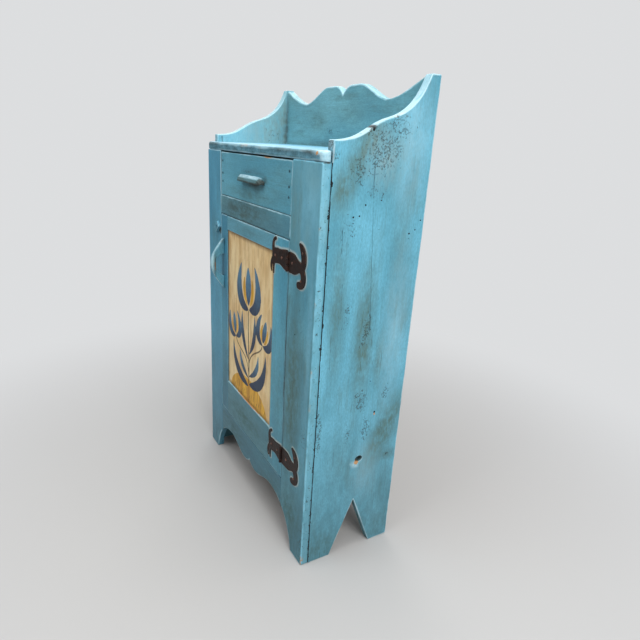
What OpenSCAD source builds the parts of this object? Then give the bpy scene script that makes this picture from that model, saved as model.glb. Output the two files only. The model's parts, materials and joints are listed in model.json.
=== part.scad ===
// Painted milk cupboard: a drawer over one panelled door, a low gallery round the top,
// cut-out feet and wrought iron hinges. X runs to the right, Y to the back and Z up.
// The origin is on the floor, midway between the sides in X, and in Y midway between
// the front of the door handle and the back edges of the sides.

/* [Overall] */
// Height from the floor to the gallery tips
overall_h = 1200; // [1160:5:1300]
// Width over the two side boards
overall_w = 678; // [650:1:740]
// Depth from the face frame to the back edges of the sides
carcass_d = 280; // [260:1:340]
// Height of the gallery tips above the top board
gallery_h = 158; // [130:1:180]

/* [Boards] */
// Thickness of the sides, the face frame, the top board and the gallery back
board_t = 22; // [18:0.5:26]
// Thickness of the bottom shelf and the middle shelf
shelf_t = 20; // [14:0.5:24]
// Thickness of the divider that the drawer runs on
divider_t = 18; // [12:0.5:24]
// Thickness of the upright planks of the back
back_t = 14; // [10:0.5:18]
// Gap between one back plank and the next
plank_gap = 1; // [0.5:0.5:4]
// How far the back stands in from the back edges of the sides
back_inset = 2.5; // [1:0.5:8]
// Height of the open space under the back planks
back_foot_h = 90; // [40:5:160]
// Depth of the housings that the sides give the divider and the bottom shelf
housing_d = 6; // [4:0.5:9]
// Radius along the top front edge of the top board
lip_r = 7; // [3:0.5:10]
// Radius along the under front edge of the top board
lip_under_r = 3; // [1:0.5:6]
// Height of the middle shelf's upper face
middle_shelf_z = 520; // [400:5:640]
// Width and height of the strips that the middle shelf rests on
cleat_w = 20; // [14:1:30]

/* [Face frame] */
// Width of the left stile
stile_l_w = 107; // [100:1:125]
// Width of the right stile
stile_r_w = 127; // [115:1:140]
// Height of the opening that the drawer fills
drawer_open_h = 124; // [110:1:140]
// Height of the face of that rail
rail_h = 54; // [45:1:65]
// Height of the door's lower edge
door_bottom_z = 191; // [180:1:205]
// Length of the tenons of the rail and the apron
frame_tenon_l = 25; // [15:1:40]
// Thickness of those tenons
frame_tenon_t = 8; // [6:0.5:10]
// How far a tenon is shouldered in above and below
tenon_shoulder = 8; // [5:0.5:12]
// Play between a joint's end and the bottom of its mortise or housing
joint_fit = 0.2; // [0.1:0.05:0.5]

/* [Feet] */
// Width of each front foot at the floor
foot_w = 61; // [50:1:75]
// Height of the two arches under the apron
arch_h = 127; // [115:1:140]
// Height of the low points of the apron beside its middle
arch_dip_z = 100; // [90:1:108]
// Height of the nick in the middle of the apron
arch_nick_z = 117; // [112:1:125]
// Distance of the low points from the middle
arch_dip_x = 40; // [30:1:55]
// Distance of the arches' tops from the middle
arch_peak_x = 145; // [125:1:165]
// Width at the floor of the pointed notch in each side
notch_w = 130; // [100:1:150]
// Height of that notch
notch_h = 160; // [120:1:200]
// Distance of the notch's middle from the face frame
notch_y = 153; // [140:1:165]

/* [Gallery] */
// Height of the gallery's front ends above the top board
gallery_step_h = 21; // [15:1:35]
// Distance of the bulge in the side gallery from the face frame
gallery_mid_y = 150; // [130:1:170]
// Height of that bulge above the top board
gallery_mid_h = 65; // [50:1:80]
// Length of the flat tip at the back of each side
gallery_tip_l = 26; // [18:1:40]
// How far the back's two humps stay below the tips
hump_drop = 2.5; // [1:0.5:10]
// Distance of a hump's inner end from the middle
hump_inner_x = 42; // [35:1:50]
// Distance of a hump's outer end from the middle
hump_outer_x = 72; // [60:1:85]
// How far the nick between the humps drops below the tips
nick_drop = 24; // [15:1:35]
// How far the hollows outside the humps drop below the tips
hollow_drop = 42; // [30:1:60]
// Distance of those hollows from the middle
hollow_x = 195; // [180:1:215]
// How far the gallery back reaches down behind the top board
gallery_lap = 20; // [10:1:40]

/* [Knot hole] */
// Half the length of the hole where a knot fell out of the right side
knot_ry = 11.5; // [6:0.5:14]
// Half its height
knot_rz = 8.5; // [5:0.5:12]
// Its distance from the face frame
knot_y = 158; // [120:1:200]
// Its height
knot_z = 287; // [240:1:340]

/* [Door] */
// Gap all round the door
door_gap = 1.8; // [1.5:0.1:3]
// Thickness of the door's frame
door_t = 20; // [18:0.5:22]
// Width of the door's left stile
door_stile_l_w = 50; // [42:1:60]
// Width of the door's right stile
door_stile_r_w = 78; // [70:1:90]
// Height of the door's top rail
door_rail_top_h = 41; // [36:1:50]
// Height of the door's bottom rail
door_rail_bottom_h = 115; // [100:1:130]
// Thickness of the door's panel
panel_t = 9; // [6:0.5:11]
// How far the panel lies behind the door's face
panel_recess = 3.5; // [2:0.5:6]
// Depth of the groove that holds the panel
groove_d = 8; // [6:0.5:10]
// Play of the panel's edges in the groove
panel_fit = 0.6; // [0.4:0.1:1.5]
// Length of the door's tenons
door_tenon_l = 32; // [20:1:38]
// Thickness of the door's tenons
door_tenon_t = 7; // [5:0.5:8]

/* [Door handle] */
// Length of the handle from tip to tip
handle_l = 160; // [140:1:180]
// Width of the handle
handle_w = 13; // [12:0.5:20]
// How far the handle stands out from the door
handle_out = 42; // [36:0.5:50]
// Thickness of the handle at its middle
handle_t = 15; // [12:0.5:18]
// Length of the finger gap along the door
handle_gap_l = 71; // [66:1:80]
// Distance of the handle's middle from the door's opening edge
handle_edge = 20; // [16:0.1:26]
// How far the handle's middle lies below the door's upper edge
handle_down = 148; // [120:1:180]

/* [Turn button] */
// Length of the button on the long side of its screw
button_long = 24; // [22:0.5:26]
// Length of the button on the short side of its screw
button_short = 9; // [7:0.5:10]
// Width of the button
button_w = 22; // [16:0.5:23]
// Thickness of the button
button_t = 8.5; // [6:0.5:12]
// Thickness of the round foot that the button turns on
button_foot_t = 0.5; // [0.4:0.1:1]
// Play between that foot and the stile
button_play = 0.1; // [0.05:0.05:0.3]
// Radius of that foot
button_foot_r = 6; // [5:0.5:7]
// Angle of the button at rest
button_angle = 43; // [35:1:50]
// Distance of its screw from the opening edge of the stile
button_edge = 14.4; // [14:0.1:17]
// How far its screw lies below the door's upper edge
button_down = 38; // [26:1:50]

/* [Drawer] */
// Gap at each end of the drawer front
drawer_gap = 1.5; // [1:0.1:3]
// Gap under the drawer front
drawer_under = 0.5; // [0.3:0.1:1.5]
// Gap over the drawer front
drawer_over = 3.5; // [2:0.1:6]
// How far the drawer front lies behind the face frame
drawer_recess = 1.5; // [0:0.5:5]
// Thickness of the drawer front
drawer_front_t = 20; // [16:0.5:24]
// Thickness of the drawer sides
drawer_side_t = 14; // [10:0.5:16]
// How far the drawer sides stand in from the ends of the front
drawer_side_in = 6.5; // [4:0.5:12]
// How far the drawer sides stay below the front's upper edge
drawer_side_drop = 2; // [1:0.5:10]
// Thickness of the drawer's back
drawer_back_t = 12; // [8:0.5:16]
// How far the drawer's back stays below its sides
drawer_back_drop = 10; // [4:1:25]
// Thickness of the drawer's bottom
drawer_bottom_t = 6; // [4:0.5:9]
// Height of the drawer's bottom above its lower edges
drawer_bottom_up = 10; // [6:1:20]
// Depth of the grooves that hold the bottom
drawer_groove_d = 5; // [4:0.5:7]
// Play of the bottom's edges in those grooves
drawer_bottom_fit = 0.5; // [0.3:0.1:1]
// Space behind the closed drawer
drawer_back_gap = 14; // [8:1:30]
// Play between a drawer side and its guide
guide_gap = 0.8; // [0.5:0.1:2]
// Width and height of the drawer guides
guide_w = 20; // [14:1:30]

/* [Drawer pull] */
// Length of the pull
pull_l = 140; // [120:1:180]
// Height of the pull
pull_h = 17; // [15:0.5:24]
// How far the pull stands out
pull_out = 16; // [13:0.5:24]
// Length of the slope at its worn right end
pull_worn_l = 20; // [8:1:30]
// Height of the square edge that is left under that slope
pull_worn_h = 6; // [3:0.5:12]
// Length of the slope at its left end
pull_slope_l = 8; // [2:1:20]
// Size of the bevel along its upper front edge
pull_bevel = 6.5; // [2:0.5:8]
// Height of its middle above the drawer's lower edge
pull_up = 61; // [50:1:75]
// How far its middle lies right of the drawer's middle
pull_right = 8; // [-10:0.5:15]

/* [Hinges] */
// How far the upper hinge's middle lies below the door's upper edge
hinge_upper_down = 49; // [42:1:70]
// How far the lower hinge's middle lies above the door's lower edge
hinge_lower_up = 75; // [60:1:100]
// Height of the hinges' iron at the pivot, which the rest of its outline follows
strap_h = 50; // [48:1:56]
// How far the lower hinge's iron is set over from its pivot towards the outside
hinge_lower_shift = 8; // [0:0.5:12]
// How many degrees it is turned, its outer end up
hinge_lower_tilt = 2.5; // [0:0.5:5]
// Thickness of the iron leaves
iron_t = 2.5; // [1.5:0.1:3]
// Radius of the hinge pins
hinge_pin_r = 2; // [1.5:0.1:2.2]
// Running clearance round a hinge pin
hinge_pin_fit = 0.05; // [0.02:0.01:0.1]
// Radius of the knuckles
knuckle_r = 3.8; // [3.4:0.1:4.2]
// Play between one knuckle and the next, and between knuckle and wood
knuckle_gap = 0.3; // [0.2:0.05:0.6]
// Length of the whole row of knuckles
knuckle_row = 46; // [40:1:50]
// Length of the middle knuckle
knuckle_middle = 17; // [12:1:22]

/* [Fasteners] */
// Radius of the nails' shanks
nail_r = 1.3; // [1:0.1:1.8]
// Radius of the nails' heads
nail_head_r = 3.4; // [2.5:0.1:4]
// Thickness of the nails' heads
nail_head_t = 1.3; // [0.8:0.1:2]
// Depth of the hinge nails in the wood
hinge_nail_d = 16; // [12:0.5:17]
// Length of the nails in the back planks
back_nail_l = 38; // [30:1:45]
// Length of the nails in the drawer front
drawer_nail_l = 45; // [35:1:60]
// Radius of the screws
screw_r = 2; // [1.5:0.1:2.4]
// Radius of the screws' heads
screw_head_r = 4; // [3.2:0.1:4.8]
// Thickness of the screws' heads
screw_head_t = 2; // [1:0.1:2.4]
// How deep the screws go into the door handle
handle_screw_d = 13; // [9:0.5:15]
// How deep the screws go into the drawer pull
pull_screw_d = 8; // [6:0.5:9]
// Depth of the turn button's screw in the stile
button_screw_d = 17; // [12:0.5:17.5]
// Clearance between a fastener and its hole
fastener_fit = 0.05; // [0.02:0.01:0.2]

/* [Hidden] */

// Round holes and pins, and the steps of a curve
$fn = 32;
curve_steps = 10;
// How far a cutter runs past the face it cuts
over = 1;

paint = "#5f9db4";
paint_dark = "#4c7880";
panel_cream = "#cbb083";
bare_wood = "#a98a62";
iron = "#2b2120";
steel = "#6d6a66";

// Planes of the carcass
xr = overall_w / 2;
inner_x = xr - board_t;
housed_x = inner_x + housing_d - joint_fit;
front_y = (handle_out - carcass_d) / 2;
back_y = front_y + carcass_d;
frame_back_y = front_y + board_t;
gallery_back_y = back_y - back_inset;
gallery_front_y = gallery_back_y - board_t;
plank_front_y = gallery_back_y - back_t;
top_z = overall_h - gallery_h;
top_under_z = top_z - board_t;
rail_top_z = top_under_z - drawer_open_h;
rail_bottom_z = rail_top_z - rail_h;
apron_top_z = door_bottom_z - door_gap;
gallery_bottom_z = top_under_z - gallery_lap;

// The opening that the drawer and the door fill
open_x0 = stile_l_w - xr;
open_x1 = xr - stile_r_w;

// Door
door_x0 = open_x0 + door_gap;
door_x1 = open_x1 - door_gap;
door_top_z = rail_bottom_z - door_gap;
door_back_y = front_y + door_t;
panel_x0 = door_x0 + door_stile_l_w;
panel_x1 = door_x1 - door_stile_r_w;
panel_z0 = door_bottom_z + door_rail_bottom_h;
panel_z1 = door_top_z - door_rail_top_h;
panel_y = front_y + panel_recess;
door_tenon_y = panel_y + (panel_t - door_tenon_t) / 2;
handle_x = door_x0 + handle_edge;
handle_z = door_top_z - handle_down;
handle_screw_z = (handle_l + handle_gap_l) / 4;

// Hinge pivot
pivot_x = open_x1 - door_gap / 2;
pivot_y = front_y - knuckle_r - knuckle_gap;
hinge_upper_z = door_top_z - hinge_upper_down;
hinge_lower_z = door_bottom_z + hinge_lower_up;

// Turn button
button_x = open_x0 - button_edge;
button_z = door_top_z - button_down;
button_back_y = front_y - button_play - button_foot_t;
button_front_y = button_back_y - button_t;

// Drawer
drawer_x0 = open_x0 + drawer_gap;
drawer_x1 = open_x1 - drawer_gap;
drawer_y = front_y + drawer_recess;
drawer_z0 = rail_top_z + drawer_under;
drawer_z1 = top_under_z - drawer_over;
drawer_box_y0 = drawer_y + drawer_front_t;
drawer_box_y1 = plank_front_y - drawer_back_gap;
drawer_side_z1 = drawer_z1 - drawer_side_drop;
drawer_out_x0 = drawer_x0 + drawer_side_in;
drawer_out_x1 = drawer_x1 - drawer_side_in;
drawer_in_x0 = drawer_out_x0 + drawer_side_t;
drawer_in_x1 = drawer_out_x1 - drawer_side_t;
drawer_floor_z = drawer_z0 + drawer_bottom_up;
drawer_floor_top_z = drawer_floor_z + drawer_bottom_t;
pull_x = (drawer_x0 + drawer_x1) / 2 + pull_right;
pull_z = drawer_z0 + pull_up;
pull_screw_x = pull_l / 4;

// Drawer nails, as heights above the drawer's lower edge
drawer_nail_up = [39, 62, 96];
// The two hinges, each as its height, its iron's shift from the pivot and its tilt
upper_hinge = [hinge_upper_z, 0, 0];
lower_hinge = [hinge_lower_z, hinge_lower_shift, hinge_lower_tilt];
// The outlines of the iron are drawn 50 high at the pivot. The nails are placed in them.
strap_k = strap_h / 50;
frame_leaf_nail_uw = strap_k * [[21, 1], [68, 33], [64, -31]];
door_leaf_nail_uw = strap_k * [[-31, 2], [-66, 2]];

function bezier(a, b, c, d, t) =
    a * pow(1 - t, 3) + 3 * b * t * pow(1 - t, 2) + 3 * c * t * t * (1 - t) + d * pow(t, 3);
function curve(a, b, c, d) = [for (i = [0 : curve_steps]) bezier(a, b, c, d, i / curve_steps)];
function arc(centre, r, a0, a1) =
    [for (i = [0 : 6]) centre + r * [cos(a0 + (a1 - a0) * i / 6), sin(a0 + (a1 - a0) * i / 6)]];
function flipped(points) = [for (i = [len(points) - 1 : -1 : 0]) [-points[i][0], points[i][1]]];

// A solid box between two corners
module block(x0, x1, y0, y1, z0, z1) {
    translate([x0, y0, z0]) cube([x1 - x0, y1 - y0, z1 - z0]);
}

// An outline drawn in X and Z, made t thick towards the back from y
module plate_xz(y, t) {
    translate([0, y + t, 0]) rotate([90, 0, 0]) linear_extrude(t) children();
}

// An outline drawn in Y and Z, made t thick to the right from x
module plate_yz(x, t) {
    translate([x, 0, 0]) rotate([90, 0, 90]) linear_extrude(t) children();
}

// A round bar along Y from y0 to y1
module bar_y(x, z, r, y0, y1) {
    translate([x, y1, z]) rotate([90, 0, 0]) cylinder(r = r, h = y1 - y0);
}

// A nail driven towards the back, its head's underside at y
module nail(x, y, z, l) {
    bar_y(x, z, nail_r, y - over / 2, y + l);
    translate([x, y, z]) rotate([90, 0, 0])
        cylinder(r1 = nail_head_r, r2 = nail_head_r * 0.7, h = nail_head_t);
}

// The hole that a nail or a screw of radius r needs
module fastener_hole(x, z, r, y0, y1) {
    bar_y(x, z, r + fastener_fit, y0, y1 + fastener_fit);
}

// Side boards
function side_outline() = concat(
    [[frame_back_y, 0], [front_y + notch_y - notch_w / 2, 0], [front_y + notch_y, notch_h],
     [front_y + notch_y + notch_w / 2, 0], [back_y, 0], [back_y, overall_h]],
    curve([back_y - gallery_tip_l, overall_h],
          [back_y - gallery_tip_l - 22, top_z + (overall_h - top_z) * 0.62],
          [front_y + gallery_mid_y + 52, top_z + gallery_mid_h + 13],
          [front_y + gallery_mid_y, top_z + gallery_mid_h]),
    curve([front_y + gallery_mid_y, top_z + gallery_mid_h],
          [front_y + gallery_mid_y - 50, top_z + gallery_mid_h - 19],
          [front_y + gallery_mid_y - 60, top_z + gallery_step_h - 1],
          [frame_back_y, top_z + gallery_step_h]));

module side_housings() {
    block(inner_x - over, inner_x + housing_d, frame_back_y - over, plank_front_y,
          rail_top_z - divider_t, rail_top_z);
    block(inner_x - over, inner_x + housing_d, frame_back_y - over, plank_front_y,
          apron_top_z - shelf_t, apron_top_z);
}

module right_hand_side() {
    difference() {
        plate_yz(inner_x, board_t) polygon(side_outline());
        side_housings();
    }
}

module side_left() {
    color(paint) mirror([1, 0, 0]) right_hand_side();
}

module side_right() {
    color(paint) difference() {
        right_hand_side();
        plate_yz(inner_x - over, board_t + 2 * over)
            polygon([for (a = [0 : 20 : 340])
                [front_y + knot_y + knot_ry * cos(a), knot_z + knot_rz * sin(a)]]);
    }
}

// Face frame
foot_x = xr - foot_w;
arch_half = concat(
    curve([0, arch_nick_z], [6, arch_nick_z - 9], [arch_dip_x / 2, arch_dip_z],
          [arch_dip_x, arch_dip_z]),
    curve([arch_dip_x, arch_dip_z], [arch_dip_x + 35, arch_dip_z], [arch_peak_x - 40, arch_h],
          [arch_peak_x, arch_h]),
    curve([arch_peak_x, arch_h], [arch_peak_x + 70, arch_h], [foot_x - 16, arch_h * 0.63],
          [foot_x, 0]));

module arch_cut() {
    plate_xz(front_y - over, board_t + 2 * over)
        polygon(concat([[-foot_x, -over]], flipped(arch_half), arch_half, [[foot_x, -over]]));
}

module frame_mortises(grow) {
    y0 = front_y + (board_t - frame_tenon_t) / 2;
    for (z = [[rail_bottom_z, rail_top_z], [arch_h, apron_top_z]])
        block(open_x0 - frame_tenon_l - grow, open_x1 + frame_tenon_l + grow, y0,
              y0 + frame_tenon_t, z[0] + tenon_shoulder, z[1] - tenon_shoulder);
}

module stile_blank(x0, x1) {
    difference() {
        block(x0, x1, front_y, frame_back_y, 0, top_under_z);
        arch_cut();
        frame_mortises(joint_fit);
    }
}

module stile_left() {
    color(paint) difference() {
        stile_blank(-xr, open_x0);
        fastener_hole(button_x, button_z, screw_r, front_y - over, front_y + button_screw_d);
    }
}

module stile_right() {
    color(paint) difference() {
        stile_blank(open_x1, xr);
        for (h = [upper_hinge, lower_hinge])
            leaf_nail_holes(h, frame_leaf_nail_uw);
    }
}

module drawer_rail() {
    color(paint_dark) {
        block(open_x0, open_x1, front_y, frame_back_y, rail_bottom_z, rail_top_z);
        intersection() {
            frame_mortises(0);
            block(-xr, xr, front_y, frame_back_y, rail_bottom_z, rail_top_z);
        }
    }
}

module apron() {
    color(paint) {
        difference() {
            block(open_x0, open_x1, front_y, frame_back_y, arch_dip_z - over, apron_top_z);
            arch_cut();
        }
        intersection() {
            frame_mortises(0);
            block(-xr, xr, front_y, frame_back_y, arch_h, apron_top_z);
        }
    }
}

// Top and gallery
module top_board() {
    color(paint) {
        plate_yz(-xr, overall_w) polygon(concat(
            [[frame_back_y, top_under_z], [frame_back_y, top_z]],
            arc([front_y + lip_r, top_z - lip_r], lip_r, 90, 180),
            arc([front_y + lip_under_r, top_under_z + lip_under_r], lip_under_r, 180, 270)));
        block(-inner_x, inner_x, frame_back_y, gallery_front_y, top_under_z, top_z);
    }
}

gallery_half = concat(
    curve([0, overall_h - nick_drop], [8, overall_h - nick_drop + 10],
          [hump_inner_x / 2, overall_h - hump_drop], [hump_inner_x, overall_h - hump_drop]),
    curve([hump_outer_x, overall_h - hump_drop], [hump_outer_x + 45, overall_h - hump_drop],
          [hollow_x - 45, overall_h - hollow_drop], [hollow_x, overall_h - hollow_drop]),
    curve([hollow_x, overall_h - hollow_drop], [hollow_x + 40, overall_h - hollow_drop],
          [inner_x - 35, overall_h - 15], [inner_x, overall_h - 1]));

module gallery_back() {
    color(paint) plate_xz(gallery_front_y, board_t) polygon(concat(
        [[-inner_x, gallery_bottom_z]], flipped(gallery_half), gallery_half,
        [[inner_x, gallery_bottom_z]]));
}

// Back and inside
plank_w = (2 * inner_x - 3 * plank_gap) / 4;
back_nail_z = [apron_top_z - shelf_t / 2, middle_shelf_z - shelf_t / 2,
               rail_top_z - divider_t / 2];

module back_nail_set(i, hole) {
    x0 = -inner_x + i * (plank_w + plank_gap);
    for (z = back_nail_z, x = [x0 + plank_w * 0.2, x0 + plank_w * 0.8]) {
        if (hole)
            fastener_hole(x, z, nail_r, gallery_back_y - back_nail_l, gallery_back_y + over);
        else
            translate([2 * x, 2 * gallery_back_y, 0]) rotate([0, 0, 180])
                nail(x, gallery_back_y, z, back_nail_l);
    }
}

module back_plank(i) {
    x0 = -inner_x + i * (plank_w + plank_gap);
    color(bare_wood) difference() {
        block(x0, x0 + plank_w, plank_front_y, gallery_back_y, back_foot_h, gallery_bottom_z);
        back_nail_set(i, true);
    }
}

module back_nails() {
    color(iron) for (i = [0 : 3]) back_nail_set(i, false);
}

module shelf_board(z, t, half_w, y0) {
    color(bare_wood) difference() {
        block(-half_w, half_w, y0, plank_front_y, z - t, z);
        for (i = [0 : 3]) back_nail_set(i, true);
    }
}

module bottom_shelf() {
    shelf_board(apron_top_z, shelf_t, housed_x, frame_back_y);
}

module middle_shelf() {
    shelf_board(middle_shelf_z, shelf_t, inner_x - joint_fit,
                frame_back_y + joint_fit);
}

module divider_board() {
    shelf_board(rail_top_z, divider_t, housed_x, frame_back_y);
}

module shelf_cleat_right() {
    color(bare_wood) block(inner_x - cleat_w, inner_x, frame_back_y, plank_front_y,
                           middle_shelf_z - shelf_t - cleat_w, middle_shelf_z - shelf_t);
}

module shelf_cleat_left() {
    mirror([1, 0, 0]) shelf_cleat_right();
}

module drawer_guide_left() {
    x1 = drawer_out_x0 - guide_gap;
    color(bare_wood) block(x1 - guide_w, x1, frame_back_y, plank_front_y, rail_top_z,
                           rail_top_z + guide_w);
}

module drawer_guide_right() {
    x0 = drawer_out_x1 + guide_gap;
    color(bare_wood) block(x0, x0 + guide_w, frame_back_y, plank_front_y, rail_top_z,
                           rail_top_z + guide_w);
}

// Hinges. A horn is a band along a curve, its width a curve of its own.
function normal(a, b) = [a[1] - b[1], b[0] - a[0]] / norm(b - a);
module horn(a, b, c, d, w) {
    mid = curve(a, b, c, d);
    n = curve_steps;
    edge = [for (i = [0 : n])
        normal(mid[max(i - 1, 0)], mid[min(i + 1, n)]) * bezier(w[0], w[1], w[2], w[3], i / n) / 2];
    polygon(concat([for (i = [0 : n]) mid[i] + edge[i]],
                   [for (i = [n : -1 : 0]) mid[i] - edge[i]]));
    translate(d) circle(r = w[3] / 2);
}

// The iron of one hinge, both leaves together
module strap_outline() {
    polygon(concat(
        curve([20, 25], [37, 25], [42, 12], [56, 12]),
        [[72, 6], [71, -8]],
        curve([60, -14], [46, -14], [44, -24], [26, -24]),
        curve([-14, -24], [-30, -22], [-34, -14], [-52, -16]),
        [[-72, -19], [-84, -12], [-84, 12], [-72, 20]],
        curve([-56, 22], [-40, 19], [-28, 25], [-10, 26])));
    horn([66, -2], [80, 14], [72, 40], [53, 50], [20, 18, 32, 8]);
    horn([64, -4], [78, -16], [78, -44], [53, -43], [22, 22, 20, 17]);
    horn([-76, 10], [-83, 22], [-83, 38], [-68, 43], [16, 9, 8, 9]);
    horn([-78, -8], [-90, -18], [-93, -32], [-85, -41], [14, 9, 7, 4]);
    horn([-75, -10], [-77, -22], [-77, -32], [-75, -44], [12, 9, 7, 4]);
}
strap_reach = 130 * strap_k;

// Where a point of the iron lies, given the hinge
function strap_x(h, p) = pivot_x + h[1] + p[0] * cos(h[2]) - p[1] * sin(h[2]);
function strap_z(h, p) = h[0] + p[0] * sin(h[2]) + p[1] * cos(h[2]);

knuckle_cuts = knuckle_middle / 2 + knuckle_gap;

module knuckle(z, w0, w1) {
    translate([pivot_x, pivot_y, z + w0]) cylinder(r = knuckle_r, h = w1 - w0);
}

// The stretch of the row of knuckles that belongs to the other leaf, cut clear of it
module knuckle_clearance(z, w0, w1) {
    reach = knuckle_r + knuckle_gap + 0.2;
    block(pivot_x - reach, pivot_x + reach, pivot_y - knuckle_r - over, front_y + over, z + w0,
          z + w1);
}

module pin_hole(z) {
    translate([pivot_x, pivot_y, z - knuckle_row / 2 - over])
        cylinder(r = hinge_pin_r + hinge_pin_fit, h = knuckle_row + 2 * over);
}

module leaf_nail_holes(h, points) {
    for (p = points)
        fastener_hole(strap_x(h, p), strap_z(h, p), nail_r, front_y - iron_t - over,
                      front_y + hinge_nail_d);
}

// The part of the iron between x0 and x1
module leaf_plate(h, x0, x1) {
    intersection() {
        translate([pivot_x + h[1], 0, h[0]]) rotate([0, -h[2], 0])
            plate_xz(front_y - iron_t, iron_t) scale([strap_k, strap_k]) strap_outline();
        block(x0, x1, front_y - iron_t, front_y, h[0] - strap_reach, h[0] + strap_reach);
    }
}

module frame_leaf(h) {
    z = h[0];
    color(iron) difference() {
        union() {
            difference() {
                leaf_plate(h, pivot_x, pivot_x + strap_reach);
                knuckle_clearance(z, -knuckle_cuts, knuckle_cuts);
                knuckle_clearance(z, knuckle_row / 2, knuckle_row);
                knuckle_clearance(z, -knuckle_row, -knuckle_row / 2);
            }
            knuckle(z, -knuckle_row / 2, -knuckle_cuts);
            knuckle(z, knuckle_cuts, knuckle_row / 2);
        }
        pin_hole(z);
        leaf_nail_holes(h, frame_leaf_nail_uw);
    }
}

module door_leaf(h) {
    z = h[0];
    color(iron) difference() {
        union() {
            difference() {
                leaf_plate(h, pivot_x - strap_reach, pivot_x);
                knuckle_clearance(z, knuckle_middle / 2, knuckle_row);
                knuckle_clearance(z, -knuckle_row, -knuckle_middle / 2);
            }
            knuckle(z, -knuckle_middle / 2, knuckle_middle / 2);
        }
        pin_hole(z);
        leaf_nail_holes(h, door_leaf_nail_uw);
    }
}

module hinge_pin(h) {
    color(iron) translate([pivot_x, pivot_y, h[0]]) {
        translate([0, 0, -knuckle_row / 2]) cylinder(r = hinge_pin_r, h = knuckle_row);
        translate([0, 0, knuckle_row / 2]) cylinder(r = knuckle_r * 0.8, h = 1.5);
    }
}

module upper_hinge_frame_leaf() {
    frame_leaf(upper_hinge);
}

module lower_hinge_frame_leaf() {
    frame_leaf(lower_hinge);
}

module upper_hinge_door_leaf() {
    door_leaf(upper_hinge);
}

module lower_hinge_door_leaf() {
    door_leaf(lower_hinge);
}

module upper_hinge_pin() {
    hinge_pin(upper_hinge);
}

module lower_hinge_pin() {
    hinge_pin(lower_hinge);
}

module leaf_nails(points) {
    color(iron) for (h = [upper_hinge, lower_hinge], p = points)
        nail(strap_x(h, p), front_y - iron_t, strap_z(h, p), hinge_nail_d + iron_t);
}

module frame_leaf_nails() {
    leaf_nails(frame_leaf_nail_uw);
}

module door_leaf_nails() {
    leaf_nails(door_leaf_nail_uw);
}

// Turn button, which swings on its screw over the edge of the door
module turn_button() {
    chamfer = 1.5;
    color(paint) difference() {
        translate([button_x, 0, button_z]) rotate([0, -button_angle, 0]) union() {
            plate_xz(button_front_y, button_t) polygon([
                [-button_long, chamfer - button_w / 2], [chamfer - button_long, -button_w / 2],
                [button_short, -button_w / 2], [button_short, button_w / 2],
                [chamfer - button_long, button_w / 2], [-button_long, button_w / 2 - chamfer]]);
            bar_y(0, 0, button_foot_r, button_back_y - over, front_y - button_play);
        }
        fastener_hole(button_x, button_z, screw_r, button_front_y - over, front_y + over);
    }
}

module button_screw() {
    color(iron) {
        bar_y(button_x, button_z, screw_r, button_front_y - over / 2, front_y + button_screw_d);
        bar_y(button_x, button_z, screw_head_r, button_front_y - screw_head_t, button_front_y);
    }
}

// Door
module panel_space(grow) {
    block(panel_x0 - groove_d - grow, panel_x1 + groove_d + grow, panel_y, panel_y + panel_t,
          panel_z0 - groove_d - grow, panel_z1 + groove_d + grow);
}

module door_tenons(z0, z1, grow) {
    block(panel_x0 - door_tenon_l - grow, panel_x1 + door_tenon_l + grow, door_tenon_y,
          door_tenon_y + door_tenon_t, z0 + groove_d, z1 - groove_d);
}

module door_stile_blank(x0, x1) {
    difference() {
        block(x0, x1, front_y, door_back_y, door_bottom_z, door_top_z);
        panel_space(0);
        door_tenons(door_bottom_z, panel_z0, joint_fit);
        door_tenons(panel_z1, door_top_z, joint_fit);
    }
}

module door_stile_left() {
    color(paint) difference() {
        door_stile_blank(door_x0, panel_x0);
        for (s = [-1, 1])
            fastener_hole(handle_x, handle_z + s * handle_screw_z, screw_r, front_y - over,
                          door_back_y + over);
    }
}

module door_stile_right() {
    color(paint) difference() {
        door_stile_blank(panel_x1, door_x1);
        for (h = [upper_hinge, lower_hinge])
            leaf_nail_holes(h, door_leaf_nail_uw);
    }
}

module door_rail(z0, z1) {
    color(paint) difference() {
        union() {
            difference() {
                block(panel_x0, panel_x1, front_y, door_back_y, z0, z1);
                panel_space(0);
            }
            door_tenons(z0, z1, 0);
        }
        for (h = [upper_hinge, lower_hinge])
            leaf_nail_holes(h, door_leaf_nail_uw);
    }
}

module door_rail_top() {
    door_rail(panel_z1, door_top_z);
}

module door_rail_bottom() {
    door_rail(door_bottom_z, panel_z0);
}

module door_panel() {
    color(panel_cream) panel_space(-panel_fit);
}

// Door handle: a bow cut from one board, its feet tapering out to nothing
handle_half = handle_l / 2;
handle_gap_half = handle_gap_l / 2;
handle_in = handle_out - handle_t;

module door_handle() {
    color(paint) difference() {
        translate([0, front_y, handle_z]) plate_yz(handle_x - handle_w / 2, handle_w)
            polygon(concat(
                curve([0, -handle_half], [-18, 23 - handle_half], [-handle_out, -26],
                      [-handle_out, 2]),
                curve([-handle_out, 2], [-handle_out, 33], [-18, handle_half - 21],
                      [0, handle_half]),
                curve([0, handle_gap_half - 4], [-12, handle_gap_half - 8],
                      [-handle_in, handle_gap_half - 12], [-handle_in, 8]),
                curve([-handle_in, -2], [-handle_in, 12 - handle_gap_half],
                      [-20, 8 - handle_gap_half], [0, -handle_gap_half - 4])));
        for (s = [-1, 1])
            fastener_hole(handle_x, handle_z + s * handle_screw_z, screw_r,
                          front_y - handle_screw_d, front_y + over);
    }
}

module handle_screws() {
    color(steel) for (s = [-1, 1]) {
        z = handle_z + s * handle_screw_z;
        bar_y(handle_x, z, screw_r, front_y - handle_screw_d, door_back_y + over / 2);
        bar_y(handle_x, z, screw_head_r, door_back_y, door_back_y + screw_head_t);
    }
}

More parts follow.
